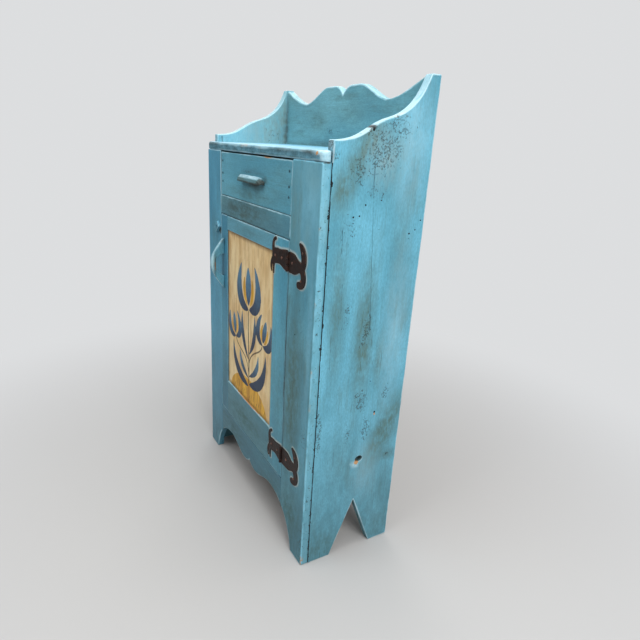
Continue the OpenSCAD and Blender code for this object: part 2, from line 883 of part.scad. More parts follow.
// Drawer
module drawer_floor(grow) {
    block(drawer_in_x0 - drawer_groove_d - grow, drawer_in_x1 + drawer_groove_d + grow,
          drawer_box_y0 - drawer_groove_d - grow, drawer_box_y1 + over * grow, drawer_floor_z,
          drawer_floor_top_z);
}

module drawer_nail_set(hole) {
    for (x = [drawer_out_x0 + drawer_side_t / 2, drawer_out_x1 - drawer_side_t / 2],
         up = drawer_nail_up) {
        if (hole)
            fastener_hole(x, drawer_z0 + up, nail_r, drawer_y - over, drawer_y + drawer_nail_l);
        else
            nail(x, drawer_y, drawer_z0 + up, drawer_nail_l);
    }
}

module drawer_front() {
    color(paint) difference() {
        block(drawer_x0, drawer_x1, drawer_y, drawer_box_y0, drawer_z0, drawer_z1);
        drawer_floor(0);
        drawer_nail_set(true);
        for (s = [-1, 1])
            fastener_hole(pull_x + s * pull_screw_x, pull_z, screw_r, drawer_y - over,
                          drawer_box_y0 + over);
    }
}

module drawer_side(x0) {
    color(bare_wood) difference() {
        block(x0, x0 + drawer_side_t, drawer_box_y0, drawer_box_y1, drawer_z0, drawer_side_z1);
        translate([0, over, 0]) drawer_floor(0);
        drawer_floor(0);
        drawer_nail_set(true);
    }
}

module drawer_side_left() {
    drawer_side(drawer_out_x0);
}

module drawer_side_right() {
    drawer_side(drawer_in_x1);
}

module drawer_back() {
    color(bare_wood) block(drawer_in_x0, drawer_in_x1, drawer_box_y1 - drawer_back_t,
                           drawer_box_y1, drawer_floor_top_z,
                           drawer_side_z1 - drawer_back_drop);
}

module drawer_bottom() {
    color(bare_wood) drawer_floor(-drawer_bottom_fit);
}

module drawer_nails() {
    color(iron) drawer_nail_set(false);
}

// Drawer pull: a square bar, bevelled along the top, hollowed under it for the fingers,
// and worn down to a slope at its right end
module drawer_pull() {
    h = pull_h / 2;
    l = pull_l / 2;
    color(paint) difference() {
        intersection() {
            translate([0, drawer_y, pull_z]) plate_yz(pull_x - l, pull_l)
                polygon([[0, h], [pull_bevel - pull_out, h], [-pull_out, h - pull_bevel],
                         [-pull_out, -h], [-pull_out * 0.75, -h], [-pull_out * 0.5, 3 - h],
                         [-pull_out * 0.2, 2 - h], [0, -h]]);
            translate([pull_x, 0, pull_z]) plate_xz(drawer_y - pull_out, pull_out)
                polygon([[-l, -h], [l, -h], [l, pull_worn_h - h], [l - pull_worn_l, h],
                         [pull_slope_l - l, h]]);
        }
        for (s = [-1, 1])
            fastener_hole(pull_x + s * pull_screw_x, pull_z, screw_r, drawer_y - pull_screw_d,
                          drawer_y + over);
    }
}

module pull_screws() {
    color(steel) for (s = [-1, 1]) {
        x = pull_x + s * pull_screw_x;
        bar_y(x, pull_z, screw_r, drawer_y - pull_screw_d, drawer_box_y0 + over / 2);
        bar_y(x, pull_z, screw_head_r, drawer_box_y0, drawer_box_y0 + screw_head_t);
    }
}

side_left();
side_right();
stile_left();
stile_right();
drawer_rail();
apron();
top_board();
gallery_back();
back_plank(0);  // back_plank_1
back_plank(1);  // back_plank_2
back_plank(2);  // back_plank_3
back_plank(3);  // back_plank_4
bottom_shelf();
middle_shelf();
shelf_cleat_left();
shelf_cleat_right();
divider_board();
drawer_guide_left();
drawer_guide_right();
upper_hinge_frame_leaf();
lower_hinge_frame_leaf();
upper_hinge_pin();
lower_hinge_pin();
frame_leaf_nails();
back_nails();
button_screw();
door_stile_left();
door_stile_right();
door_rail_top();
door_rail_bottom();
door_panel();
door_handle();
handle_screws();
upper_hinge_door_leaf();
lower_hinge_door_leaf();
door_leaf_nails();
drawer_front();
drawer_side_left();
drawer_side_right();
drawer_back();
drawer_bottom();
drawer_pull();
pull_screws();
drawer_nails();
turn_button();
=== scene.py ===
"""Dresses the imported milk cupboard: aged blue boards, a painted door panel and forged iron hinges.

Each board is rebuilt from the outline of its own CAD node's flat face. The outline is resampled, a
rounded arris is carried round it, and both faces are filled with points that follow a slow ripple,
so the wood reads as planed by hand. Lengths are in millimetres up to the mesh, which is in metres.
"""

from __future__ import annotations

import json
import logging
import math
from collections.abc import Callable, Mapping, Sequence
from dataclasses import dataclass, field, fields
from enum import Enum
from functools import reduce
from typing import Any

import bmesh
import bpy
import numpy as np
from mathutils import Matrix, Vector
from mathutils.geometry import delaunay_2d_cdt

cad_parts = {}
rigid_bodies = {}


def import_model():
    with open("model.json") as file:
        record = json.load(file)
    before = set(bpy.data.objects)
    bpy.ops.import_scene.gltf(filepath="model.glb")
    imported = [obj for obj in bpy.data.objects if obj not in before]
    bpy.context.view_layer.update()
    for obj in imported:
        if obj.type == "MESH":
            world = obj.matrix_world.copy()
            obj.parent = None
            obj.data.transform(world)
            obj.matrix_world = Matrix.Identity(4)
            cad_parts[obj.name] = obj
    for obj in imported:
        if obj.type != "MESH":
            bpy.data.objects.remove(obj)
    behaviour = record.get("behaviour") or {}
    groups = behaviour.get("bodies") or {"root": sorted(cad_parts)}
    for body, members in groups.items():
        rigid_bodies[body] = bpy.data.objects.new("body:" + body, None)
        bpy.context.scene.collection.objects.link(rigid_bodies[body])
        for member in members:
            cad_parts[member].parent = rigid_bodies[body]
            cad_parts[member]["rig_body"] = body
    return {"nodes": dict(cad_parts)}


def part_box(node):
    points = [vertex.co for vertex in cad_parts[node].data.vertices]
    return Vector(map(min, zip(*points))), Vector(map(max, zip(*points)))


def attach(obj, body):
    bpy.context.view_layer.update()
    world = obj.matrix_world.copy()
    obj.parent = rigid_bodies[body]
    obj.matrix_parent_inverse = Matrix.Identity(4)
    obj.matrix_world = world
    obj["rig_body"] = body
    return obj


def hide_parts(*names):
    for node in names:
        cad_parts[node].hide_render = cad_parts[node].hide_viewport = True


log = logging.getLogger("milk_cupboard")

MM = 0.001
MERGE = 1e-5  # points closer than this, in metres, are one
FLAT = 0.02  # how near its plane a flat face's points lie
SMALL_HOLE = 4.0  # the radius of the largest hole that an outline leaves out
STRAIGHT = math.radians(0.4)  # a point of an outline that turns less is left out
CORNER = math.radians(30)  # an outline that turns more has a corner there
SHARP = math.radians(38)  # a small piece that turns more has a hard edge there
SHARPEST = 2.4  # the turn, in radians, that an eased corner is worked out for at most
SETBACK = 2.2  # an eased corner starts no more than this many radii away
ROOM = 0.86  # the share of an eased corner's radius that lines inside it may use
FAR = 99.0  # a distance past all that matter
PAIRS = 3_000_000  # how many pairs of point and edge are worked out at once
# the length, turn and height of each sine in a ripple
WAVES = ((310, 0.2, 1.0), (171, 1.4, 0.7), (97, 2.5, 0.5), (53, 0.9, 0.35))
HALO_LEAN = 0.9  # how far up and right the irons' pale ring, wear and painted highlight, is moved
IRON_BACK = 119.0  # where the irons lie on the front's outward axis
IRON_T = 2.5  # how thick the irons are

Rgb = tuple[int, int, int]
Pair = tuple[float, float]
Place = tuple[float, float, float]
Rows = tuple[tuple[float, ...], ...]
Array = np.ndarray
Loops = Sequence[Array]


class Plane(Enum):
    """The plane a board lies in: its two directions and the way its face looks."""

    FRONT = ((1, 0, 0), (0, 0, 1), (0, -1, 0))
    SIDE = ((0, 1, 0), (0, 0, 1), (1, 0, 0))
    LEFT = ((0, -1, 0), (0, 0, 1), (-1, 0, 0))
    FLAT = ((1, 0, 0), (0, 1, 0), (0, 0, 1))

    @property
    def basis(self) -> Array:
        """The directions u, v and n as the rows of a matrix."""
        return np.array(self.value, float)


class Grain(Enum):
    """The way the fibres and brush marks run, as the order that puts it on the third axis."""

    ALONG_X = (1, 2, 0)
    ALONG_Y = (2, 0, 1)
    ALONG_Z = (0, 1, 2)


class Slot(Enum):
    """The record's material slots."""

    PAINT = "blue_paint"
    PANEL = "panel_cream"
    WOOD = "bare_wood"
    IRON = "wrought_iron"
    STEEL = "screw_steel"


# Shapes


def linear(colour: Rgb) -> tuple[float, ...]:
    """The scene-linear colour of an 8-bit display colour, with an alpha of 1."""
    c = np.array(colour) / 255
    return (*np.where(c <= 0.04045, c / 12.92, ((c + 0.055) / 1.055) ** 2.4).tolist(), 1.0)


def shade(colour: Rgb, by: float, plus: float = 0) -> Rgb:
    """A display colour times one number plus another."""
    return tuple(int(c * by + plus) for c in colour)


def smooth(value: Array, low: float, high: float) -> Array:
    """Rises from 0 at low to 1 at high as 3t^2 - 2t^3."""
    t = np.clip((value - low) / (high - low), 0, 1)
    return t * t * (3 - 2 * t)


def ripple(u: Array, v: Array, seed: float) -> Array:
    """A slow uneven surface: 0.5 plus the sum of four sines with unlike lengths and turns.

    Args:
        u: places on the first axis.
        v: places on the second.
        seed: what shifts the sines.

    Returns:
        Heights from 0 to 1.
    """
    total = np.zeros(np.broadcast(u, v).shape)
    for i, (length, turn, height) in enumerate(WAVES):
        along = u * math.cos(turn) + v * math.sin(turn)
        total = total + np.sin(along * math.tau / length + seed * (i + 1.7)) * height
    return 0.5 + total / 5.1


def edge_ends(loops: Loops) -> tuple[Array, Array, int]:
    """The edges of closed outlines.

    Args:
        loops: the outlines.

    Returns:
        The edges' starts and ends, and how many points to test against them at once.
    """
    starts = np.concatenate(loops)
    ends = np.concatenate([np.roll(loop, -1, 0) for loop in loops])
    return starts, ends, max(1, PAIRS // len(starts))


def cut_distance(points: Array, loops: Loops) -> Array:
    """Each point's distance to the nearest edge of the loops.

    The foot of a point on an edge a-b is a + clip((p - a).(b - a) / |b - a|^2, 0, 1) (b - a).

    Args:
        points: the points, one a row.
        loops: closed outlines.

    Returns:
        The distances, one for each point.
    """
    a, b, chunk = edge_ends(loops)
    d = b - a
    scale = np.maximum((d * d).sum(1), 1e-12)
    out = np.empty(len(points))
    for i in range(0, len(points), chunk):
        p = points[i : i + chunk, None, :] - a[None]
        t = np.clip((p * d).sum(2) / scale, 0, 1)
        out[i : i + chunk] = np.sqrt(((p - t[..., None] * d) ** 2).sum(2).min(1))
    return out


def inside(points: Array, loops: Loops) -> Array:
    """Whether each point lies in the board, by counting the edges right of it: odd is inside.

    Args:
        points: the points, one a row.
        loops: closed outlines.

    Returns:
        True or false for each point.
    """
    a, b, chunk = edge_ends(loops)
    out = np.empty(len(points), bool)
    rise = np.where(b[:, 1] == a[:, 1], 1e-12, b[:, 1] - a[:, 1])
    for i in range(0, len(points), chunk):
        u, v = points[i : i + chunk, None, 0], points[i : i + chunk, None, 1]
        spans = (a[:, 1] > v) != (b[:, 1] > v)
        cross = a[:, 0] + (v - a[:, 1]) / rise * (b[:, 0] - a[:, 0])
        out[i : i + chunk] = (spans & (cross > u)).sum(1) % 2 == 1
    return out


def turning(loop: Array) -> Array:
    """The turn at each point: the angle whose tangent is the edges' cross over their dot product.

    Args:
        loop: a closed outline.

    Returns:
        The turns in radians, positive to the left.
    """
    after = np.roll(loop, -1, 0) - loop
    before = np.roll(after, 1, 0)
    cross = before[:, 0] * after[:, 1] - before[:, 1] * after[:, 0]
    return np.arctan2(cross, (before * after).sum(1))


def inward(loop: Array) -> Array:
    """Directions into the wood: the mean of the left normals of both edges, mitred to unit depth.

    Args:
        loop: a closed outline with the wood on its left.

    Returns:
        One direction for each point.
    """
    d = np.roll(loop, -1, 0) - loop
    d /= np.maximum(np.linalg.norm(d, axis=1, keepdims=True), 1e-9)
    left = np.stack([-d[:, 1], d[:, 0]], 1)
    mean = left + np.roll(left, 1, 0)
    mean /= np.maximum(np.linalg.norm(mean, axis=1, keepdims=True), 1e-9)
    return mean / np.maximum((mean * left).sum(1, keepdims=True), 0.5)


def run_lengths(line: Array) -> Array:
    """How far along a line each of its points lies."""
    return np.concatenate([[0], np.cumsum(np.linalg.norm(np.diff(line, axis=0), axis=1))])


def points_at(line: Array, at: Array) -> Array:
    """The points of a line at the given lengths along it."""
    along = run_lengths(line)
    return np.stack([np.interp(at, along, line[:, i]) for i in (0, 1)], 1)


def resampled(loop: Array, step: float, rounding: float) -> tuple[Array, Array]:
    """The loop with even steps between its corners, and its outer corners eased.

    Each stretch between corners is interpolated by its length. An outer corner is replaced by an
    arc that touches both stretches, set back by its radius times the tangent of half the turn.

    Args:
        loop: the closed outline as read from the CAD face.
        step: the longest edge to leave.
        rounding: the radius an outer corner is eased by.

    Returns:
        The new closed outline, and how far in from each point another line may run.
    """
    loop = loop[np.abs(turning(loop)) > STRAIGHT]
    turn = turning(loop)
    corners = np.flatnonzero(np.abs(turn) > CORNER)
    if len(corners) == 0:
        corners = np.array([0])
        turn = np.zeros(len(loop))
    parts, rooms = [], []
    for start, end in zip(corners, np.roll(corners, -1)):
        last = end + 1 if end > start else end + 1 + len(loop)
        line = loop[np.arange(start, last) % len(loop)]
        length = run_lengths(line)[-1]
        cuts = [
            min(rounding * math.tan(min(t, SHARPEST) / 2), SETBACK * rounding, length * 0.4)
            if t > CORNER
            else 0.0
            for t in (turn[start], turn[end])
        ]
        count = max(1, math.ceil((length - sum(cuts)) / step))
        points = points_at(line, np.linspace(cuts[0], length - cuts[1], count + 1))
        room = np.full(len(points), FAR)
        if cuts[0] > 0:
            room[0] = ROOM * cuts[0] / math.tan(turn[start] / 2)
        if cuts[1] > 0:
            radius = cuts[1] / math.tan(turn[end] / 2)
            room[-1] = ROOM * radius
            ahead = loop[end] - points[-1]
            ahead /= np.linalg.norm(ahead)
            out = radius * np.array([ahead[1], -ahead[0]])
            angle = turn[end] * np.linspace(0, 1, 5)[1:-1, None]
            bend = np.cos(angle) * out + np.sin(angle) * radius * ahead
            points = np.concatenate([points, points[-1] - out + bend])
            room = np.concatenate([room, np.full(len(bend), ROOM * radius)])
        else:
            points, room = points[:-1], room[:-1]
        parts.append(points)
        rooms.append(room)
    return np.concatenate(parts), np.concatenate(rooms)


def eased(values: Array, loop: Array) -> Array:
    """Values lowered until they grow along the loop by no more than half the way gone.

    Args:
        values: one for each point of the loop.
        loop: a closed outline.

    Returns:
        The lowered values.
    """
    ahead = 0.5 * np.linalg.norm(np.roll(loop, -1, 0) - loop, axis=1)
    behind = np.roll(ahead, 1)
    for _ in range(12):
        values = np.minimum(values, np.roll(values, -1) + ahead)
        values = np.minimum(values, np.roll(values, 1) + behind)
    return values


def loop_area(loop: Array) -> float:
    """The signed area of a closed loop, half the sum of its cross products."""
    nxt = np.roll(loop, -1, 0)
    return float((loop[:, 0] * nxt[:, 1] - loop[:, 1] * nxt[:, 0]).sum() / 2)


def twice_areas(points: Array, tri: Array) -> Array:
    """Twice each triangle's signed area: the cross product of its edges from the first corner."""
    a, b, c = (points[tri[:, i], :2] for i in range(3))
    return (b[:, 0] - a[:, 0]) * (c[:, 1] - a[:, 1]) - (b[:, 1] - a[:, 1]) * (c[:, 0] - a[:, 0])


def band(rows: int, count: int, start: int = 0) -> Array:
    """Faces between neighbouring closed rings of vertices, outward where rings go down.

    Args:
        rows: how many rings there are.
        count: how many vertices a ring has.
        start: the number of the first vertex.

    Returns:
        The faces, four vertices a row.
    """
    r, i = np.meshgrid(np.arange(rows - 1), np.arange(count), indexing="ij")
    j = (i + 1) % count
    a, b = r * count, (r + 1) * count
    return (np.stack([a + i, b + i, b + j, a + j], -1) + start).reshape(-1, 4)


@dataclass(frozen=True)
class Oval:
    """A soft-edged mark on a face, in millimetres on the board's own plane.

    The mark fades to nothing at its reach. A weight above 1 makes its middle flat, and the turn is
    in degrees.
    """

    u: float
    v: float
    reach_u: float
    reach_v: float
    weight: float
    turn: float = 0.0

    def cover(self, uv: Array) -> Array:
        """The share of the mark at each point: weight times one less the ellipse's radius.

        Args:
            uv: the points, one a row.

        Returns:
            The shares from 0 to 1.
        """
        q = uv - np.array([self.u, self.v])
        c, s = math.cos(math.radians(self.turn)), math.sin(math.radians(self.turn))
        x = (q[:, 0] * c + q[:, 1] * s) / self.reach_u
        y = (-q[:, 0] * s + q[:, 1] * c) / self.reach_v
        return np.clip(self.weight * (1 - np.hypot(x, y)), 0, 1)


@dataclass(frozen=True)
class Marks:
    """The soft-edged marks on one face: each kind's ovals, as their numbers.

    Each kind becomes a vertex attribute of its name. Besides stains and wear, some dirt marks are
    painted shadows and painted shade in gaps, some wash marks are painted shade, and some pale
    marks are painted highlights.
    """

    wash: Rows = ()
    crackle: Rows = ()
    pale: Rows = ()
    bare: Rows = ()
    dirt: Rows = ()
    kept: Rows = ()
    pit: Rows = ()


@dataclass(frozen=True)
class Edge:
    """A stretch of the outline with an arris of its own size and marks on the board's edge.

    The stretch is what lies in the box. Paint that is kept whole also covers the faces there. Dark
    marks on an edge in a gap between parts are painted shade.
    """

    u0: float
    v0: float
    u1: float
    v1: float
    share: float = 1.0
    wash: float = 0.0
    crackle: float = 0.0
    pale: float = 0.0
    bare: float = 0.0
    dirt: float = 0.0
    kept: float = 0.0
    pit: float = 0.0

    def holds(self, uv: Array) -> Array:
        """Whether each point lies in the box."""
        u, v = uv.T
        return (u > self.u0) & (u < self.u1) & (v > self.v0) & (v < self.v1)


def joints(share: float, *boxes: tuple[float, float, float, float]) -> tuple[Edge, ...]:
    """The edges that lie against another board: hardly rounded, with their paint whole."""
    return tuple(Edge(*box, share, kept=1.0) for box in boxes)


@dataclass(frozen=True)
class Pit:
    """An old nail hole, a round dent in the face."""

    u: float
    v: float
    radius: float
    depth: float

    def away(self, uv: Array) -> Array:
        """Each point's distance from the middle."""
        return np.hypot(*(uv - np.array([self.u, self.v])).T)

    def points(self) -> Array:
        """Four rings of ten points, and the middle one first.

        Returns:
            The points, one a row.
        """
        turn = np.linspace(0, math.tau, 10, endpoint=False)
        rings = np.array([0.45, 0.8, 1.05, 1.5])[:, None] * self.radius
        x, y = self.u + rings * np.cos(turn), self.v + rings * np.sin(turn)
        return np.concatenate([[[self.u, self.v]], np.stack([x.ravel(), y.ravel()], 1)])

    def sink(self, uv: Array) -> Array:
        """How deep each point goes: flat in the middle, up to the face at the rim."""
        return self.depth * (1 - smooth(self.away(uv) / self.radius, 0.4, 1.04))

    def clear(self, uv: Array) -> Array:
        """Whether each point keeps out of the rings."""
        return self.away(uv) > 1.8 * self.radius


@dataclass(frozen=True)
class Crack:
    """A drying split in the wood, a narrow groove along a wandering line of points.

    It lies on the back of the board where it is behind.
    """

    line: tuple[Pair, ...]
    width: float
    depth: float
    behind: bool = False

    STEP = 5.0

    def rows(self) -> Array:
        """Five rows of points beside the line, which wanders by two small sines.

        Returns:
            The points as an array (row, point, uv).
        """
        line = np.array(self.line, float)
        length = run_lengths(line)[-1]
        at = np.linspace(0, length, max(3, round(length / self.STEP)) + 1)
        mid = points_at(line, at)
        d = np.gradient(mid, axis=0)
        side = np.stack([-d[:, 1], d[:, 0]], 1) / np.linalg.norm(d, axis=1, keepdims=True)
        mid = mid + side * (0.5 * np.sin(at / 9.0) + 0.3 * np.sin(at / 3.7 + 1))[:, None]
        half = self.width / 2 * np.sin(np.linspace(0.12, math.pi - 0.12, len(at))) ** 0.4
        offsets = np.array([-2.6, -1, 0, 1, 2.6])[:, None, None] * half[None, :, None]
        return mid[None] + side[None] * offsets

    def away(self, uv: Array) -> Array:
        """Each point's distance from the middle line, there and back as a closed loop."""
        line = self.rows()[2]
        return cut_distance(uv, [np.concatenate([line, line[::-1]])])

    def points(self) -> Array:
        """The rows one after the other."""
        return self.rows().reshape(-1, 2)

    def sink(self, uv: Array) -> Array:
        """The depth on the middle line, falling to nothing half the width away."""
        return self.depth * (1 - np.clip(self.away(uv) / (0.42 * self.width), 0, 1))

    def clear(self, uv: Array) -> Array:
        """Whether each point keeps clear of the groove."""
        return self.away(uv) > 1.9 * self.width


class Solid:
    """A CAD node's faces, with the vertices that the file repeats joined again."""

    def __init__(self, node: str, objects: Mapping[str, bpy.types.Object]) -> None:
        """Reads the node's triangles, in millimetres.

        Args:
            node: the CAD node's name.
            objects: the CAD nodes by name.
        """
        mesh = objects[node].data
        mesh.calc_loop_triangles()
        co = np.empty(len(mesh.vertices) * 3, np.float32)
        mesh.vertices.foreach_get("co", co)
        tri = np.empty(len(mesh.loop_triangles) * 3, np.int32)
        mesh.loop_triangles.foreach_get("vertices", tri)
        key = np.round(co.reshape(-1, 3).astype(float) / MERGE).astype(np.int64)
        unique, back = np.unique(key, axis=0, return_inverse=True)
        self.points = unique * MERGE / MM
        self.triangles = back.reshape(-1)[tri.reshape(-1, 3)]

    def span(self, plane: Plane) -> Pair:
        """The node's lowest and highest place along the plane's outward direction."""
        n = self.points @ plane.basis[2]
        return float(n.min()), float(n.max())

    def loops(self, plane: Plane, level: float) -> list[Array]:
        """The outlines of the flat face at that level, wood on the left, small holes left out.

        An edge that only one triangle uses is on the outline.

        Args:
            plane: the plane the face lies in.
            level: its place along the plane's outward direction.

        Returns:
            The outer outline first, then the holes.
        """
        uvn = self.points @ plane.basis.T
        tri = self.triangles[(np.abs(uvn[self.triangles][:, :, 2] - level) < FLAT).all(1)]
        tri = tri if twice_areas(uvn, tri).sum() > 0 else tri[:, ::-1]
        tri = tri[(tri != np.roll(tri, 1, 1)).all(1)]
        edges = np.concatenate([tri[:, [0, 1]], tri[:, [1, 2]], tri[:, [2, 0]]])
        known = {tuple(e) for e in edges.tolist()}
        follow = {a: b for a, b in known if (b, a) not in known}
        found = []
        while follow:
            start, at = follow.popitem()
            ring = [start]
            while at != start:
                ring.append(at)
                at = follow.pop(at)
            found.append(uvn[ring, :2])
        size = [abs(loop_area(loop)) for loop in found]
        outer = int(np.argmax(size))
        holes = [
            loop
            for i, loop in enumerate(found)
            if i != outer and math.sqrt(size[i] / math.pi) > SMALL_HOLE
        ]
        return [found[outer], *holes]


def added(name: str, data: Any) -> bpy.types.Object:
    """Puts new data into the scene.

    Args:
        name: the object's name.
        data: its mesh, lamp or camera.

    Returns:
        The object.
    """
    obj = bpy.data.objects.new(name, data)
    bpy.context.scene.collection.objects.link(obj)
    return obj


@dataclass
class Surface:
    """Vertices in millimetres, faces and vertex attributes, ready to go into one mesh."""

    points: Array
    faces: list[list[int]]
    marks: dict[str, Array] = field(default_factory=dict)

    def joined(self, other: Surface) -> Surface:
        """Both surfaces as one, with absent attributes filled with zeros.

        Args:
            other: the surface to add.

        Returns:
            The new surface.
        """
        names = set(self.marks) | set(other.marks)
        shift = len(self.points)
        both = {
            n: [s.marks.get(n, np.zeros(len(s.points))) for s in (self, other)] for n in names
        }
        return Surface(
            np.concatenate([self.points, other.points]),
            self.faces + [[i + shift for i in f] for f in other.faces],
            {n: np.concatenate(values) for n, values in both.items()},
        )

    def object(self, name: str, material: bpy.types.Material) -> bpy.types.Object:
        """Puts the surface into a new smooth-shaded object at the origin.

        Args:
            name: the object's name.
            material: its only material.

        Returns:
            The object, linked to the scene.
        """
        mesh = bpy.data.meshes.new(name)
        mesh.from_pydata((self.points * MM).tolist(), [], self.faces)
        mesh.polygons.foreach_set("use_smooth", np.ones(len(mesh.polygons), bool))
        for key, values in self.marks.items():
            layer = mesh.attributes.new(key, "FLOAT", "POINT")
            layer.data.foreach_set("value", values.astype(np.float32))
        mesh.materials.append(material)
        mesh.validate()
        return added(name, mesh)


@dataclass(frozen=True, kw_only=True)
class Cut(Marks):
    """How one board is shaped and marked: where its outline is read and how it is worn.

    Where a round stops a CAD face short of the board's edge, carry holds the place on the second
    axis where the face stops and the place its outline is carried out to. The outline's outer
    corners are eased by the radius corner, or else by 1.7 arrises. A finer grid, of its own pitch,
    fills each box in fine. A pit is its place, radius and depth. A chip, which cuts the arris
    deeper near one point of the outline, is its place, reach and depth. The arris is rounded less
    by the share back behind, the outline is knocked in by up to ragged, and the faces ripple by up
    to wave. Points lie step apart on the outline and mesh apart inside. Halo has the outlines of
    the irons, round which the paint is rubbed pale and painted with a highlight.
    """

    plane: Plane = Plane.FRONT
    arris: float = 1.7
    back: float = 1.0
    ragged: float = 0.35
    step: float = 6.0
    mesh: float = 13.0
    wave: float = 0.3
    level: float | None = None
    carry: Pair | None = None
    corner: float | None = None
    seed: float = 0.0
    edges: tuple[Edge, ...] = ()
    behind: Marks = Marks()
    pits: Rows = ()
    cracks: tuple[Crack, ...] = ()
    chips: Rows = ()
    halo: Loops = ()
    fine: Rows = ()


class Board:
    """A board with rounded, uneven arrises, made from the outline of a flat CAD face."""

    STEPS = 4
    NEAR_LINES = (2.2, 5.5, 10.0)

    def __init__(self, solid: Solid, cut: Cut) -> None:
        """Reads the outline and lays out the mesh's rings.

        Args:
            solid: the CAD node.
            cut: how the board is shaped.
        """
        self.cut = cut
        self.low, self.high = solid.span(cut.plane)
        raw = solid.loops(cut.plane, self.high if cut.level is None else cut.level)
        if cut.carry:
            stop, out = cut.carry
            for loop in raw:
                loop[np.abs(loop[:, 1] - stop) < 0.1, 1] = out
        corner = max(cut.arris, 0.6) * 1.7 if cut.corner is None else cut.corner
        even = [resampled(loop, cut.step, corner) for loop in raw]
        self.loops, self.rooms = [list(part) for part in zip(*even)]
        self.pits = [Pit(*pit) for pit in cut.pits]
        self.shape_edges()

    def shape_edges(self) -> None:
        """Works out how far the outline is knocked in and how round its arris is."""
        cut = self.cut
        self.rough = [
            np.minimum(cut.ragged * ripple(*(loop.T * 5.1), cut.seed), 0.3 * room)
            for loop, room in zip(self.loops, self.rooms)
        ]
        self.radii = [
            eased(np.minimum(self.arris_radius(loop), room - rough), loop)
            for loop, room, rough in zip(self.loops, self.rooms, self.rough)
        ]

    def arris_radius(self, loop: Array) -> Array:
        """The radius of the worn arris along the outline.

        It swells and shrinks with two sines of the place, is deeper at a chip, and is no more than
        a circle that fits in the wood there, which is tried at eight sizes.

        Args:
            loop: one outline.

        Returns:
            The radius at each of its points.
        """
        cut = self.cut
        u, v = loop.T
        want = cut.arris * (0.75 + 0.6 * ripple(u * 2.3, v * 2.3, cut.seed + 3))
        for chip_u, chip_v, reach, depth in cut.chips:
            away = np.hypot(u - chip_u, v - chip_v) / reach
            want = want + depth * np.exp(-away * away)
        for edge in cut.edges:
            want = np.where(edge.holds(loop), want * edge.share, want)
        want = np.minimum(want, (self.high - self.low) * 0.46)
        normal = inward(loop)
        radius = np.full(len(loop), 0.05 * cut.arris)
        for share in (0.08, 0.15, 0.25, 0.4, 0.55, 0.7, 0.85, 1.0):
            r = want * share
            fits = cut_distance(loop + normal * r[:, None], self.loops) >= 0.98 * r
            radius = np.where(fits, np.maximum(radius, r), radius)
        return np.minimum(radius, (np.roll(radius, 1) + radius + np.roll(radius, -1)) / 3 * 1.1)

    def rings(self, loop: Array, radius: Array, rough: Array) -> tuple[Array, Array]:
        """The edge of the board: its profile carried round the outline.

        At angle t of the quarter circle the profile is r(1 - sin t) in from the outline and
        r(1 - cos t) below the face. The back has its own share of r, and two rings lie between.

        Args:
            loop: one outline.
            radius: the arris radius at each point.
            rough: how far the outline is knocked in at each point.

        Returns:
            The rings as an array (ring, point, uvn), and each vertex's distance from an arris.
        """
        t = np.linspace(0, math.pi / 2, self.STEPS + 1)[:, None]
        inset, drop = 1 - np.sin(t), 1 - np.cos(t)
        thick = self.high - self.low
        back = radius * self.cut.back
        edge = radius + (thick - radius - back) * np.array([[1 / 3], [2 / 3]])
        level = np.concatenate([drop * radius, edge, thick - drop[::-1] * back])
        inset = np.concatenate([inset * radius, 0 * edge, inset[::-1] * back]) + rough
        wall = np.minimum(level - radius, thick - back - level)
        uv = loop[None] + inward(loop)[None] * inset[..., None]
        return np.concatenate([uv, (self.high - level)[..., None]], 2), np.maximum(wall, 0)

    def scattered(self, rims: list[Array]) -> Array:
        """Points inside the face: lines beside each rim, grids further in, and pits and cracks.

        Args:
            rims: the closed lines where the arris meets the face.

        Returns:
            The points, each one once.
        """
        cut = self.cut
        scale = cut.step / 6
        found = []
        for rim in rims:
            normal = inward(rim)
            for gap in self.NEAR_LINES:
                line = rim + normal * (gap * scale)
                found.append(line[cut_distance(line, rims) > 0.9 * gap * scale])
        corner, reach = np.min([r.min(0) for r in rims], 0), np.max([r.max(0) for r in rims], 0)
        for u0, v0, u1, v1, pitch in ((*corner, *reach, cut.mesh), *cut.fine):
            gu, gv = np.meshgrid(np.arange(u0, u1, pitch), np.arange(v0, v1, pitch * 0.87))
            gu = gu + (np.arange(gu.shape[0])[:, None] % 2) * pitch / 2
            grid = np.stack([gu.ravel(), gv.ravel()], 1)
            grid = grid[inside(grid, rims)]
            coarse = pitch == cut.mesh
            clear = self.NEAR_LINES[-1] * scale + pitch * 0.4 if coarse else pitch * 0.7
            found.append(grid[cut_distance(grid, rims) > clear])
        inner = np.concatenate(found)
        inner = inner[inside(inner, rims)]
        dents = [*self.pits, *cut.cracks]
        for dent in dents:
            inner = inner[dent.clear(inner)]
        inner = np.concatenate([inner, *(d.points() for d in dents)])
        inner = inner[np.unique(np.round(inner, 2), axis=0, return_index=True)[1]]
        return inner[inside(inner, rims) & (cut_distance(inner, rims) > 0.25 * scale)]

    def fill(self, rims: list[Array]) -> tuple[Array, Array] | None:
        """The points inside the face and the triangles that join them to its rims.

        Args:
            rims: the closed lines where the arris meets the face.

        Returns:
            The inner points, and the triangles over rim and inner points. Nothing where a rim
            crosses itself.
        """
        inner = self.scattered(rims)
        edges = []
        start = 0
        for rim in rims:
            i = np.arange(len(rim))
            edges.append(np.stack([i, (i + 1) % len(rim)], 1) + start)
            start += len(rim)
        points = np.concatenate([*rims, inner])
        result = delaunay_2d_cdt(
            [Vector(p) for p in points.tolist()], np.concatenate(edges).tolist(), [], 0, 1e-4
        )
        if not all(result[3]):
            return None
        tri = np.array([ids[0] for ids in result[3]])[np.array(result[2])]
        area = twice_areas(points, tri)
        keep = inside(points[tri].sum(1) / 3, rims) & (np.abs(area) > 1e-7)
        return inner, np.where(area[:, None] < 0, tri[:, ::-1], tri)[keep]

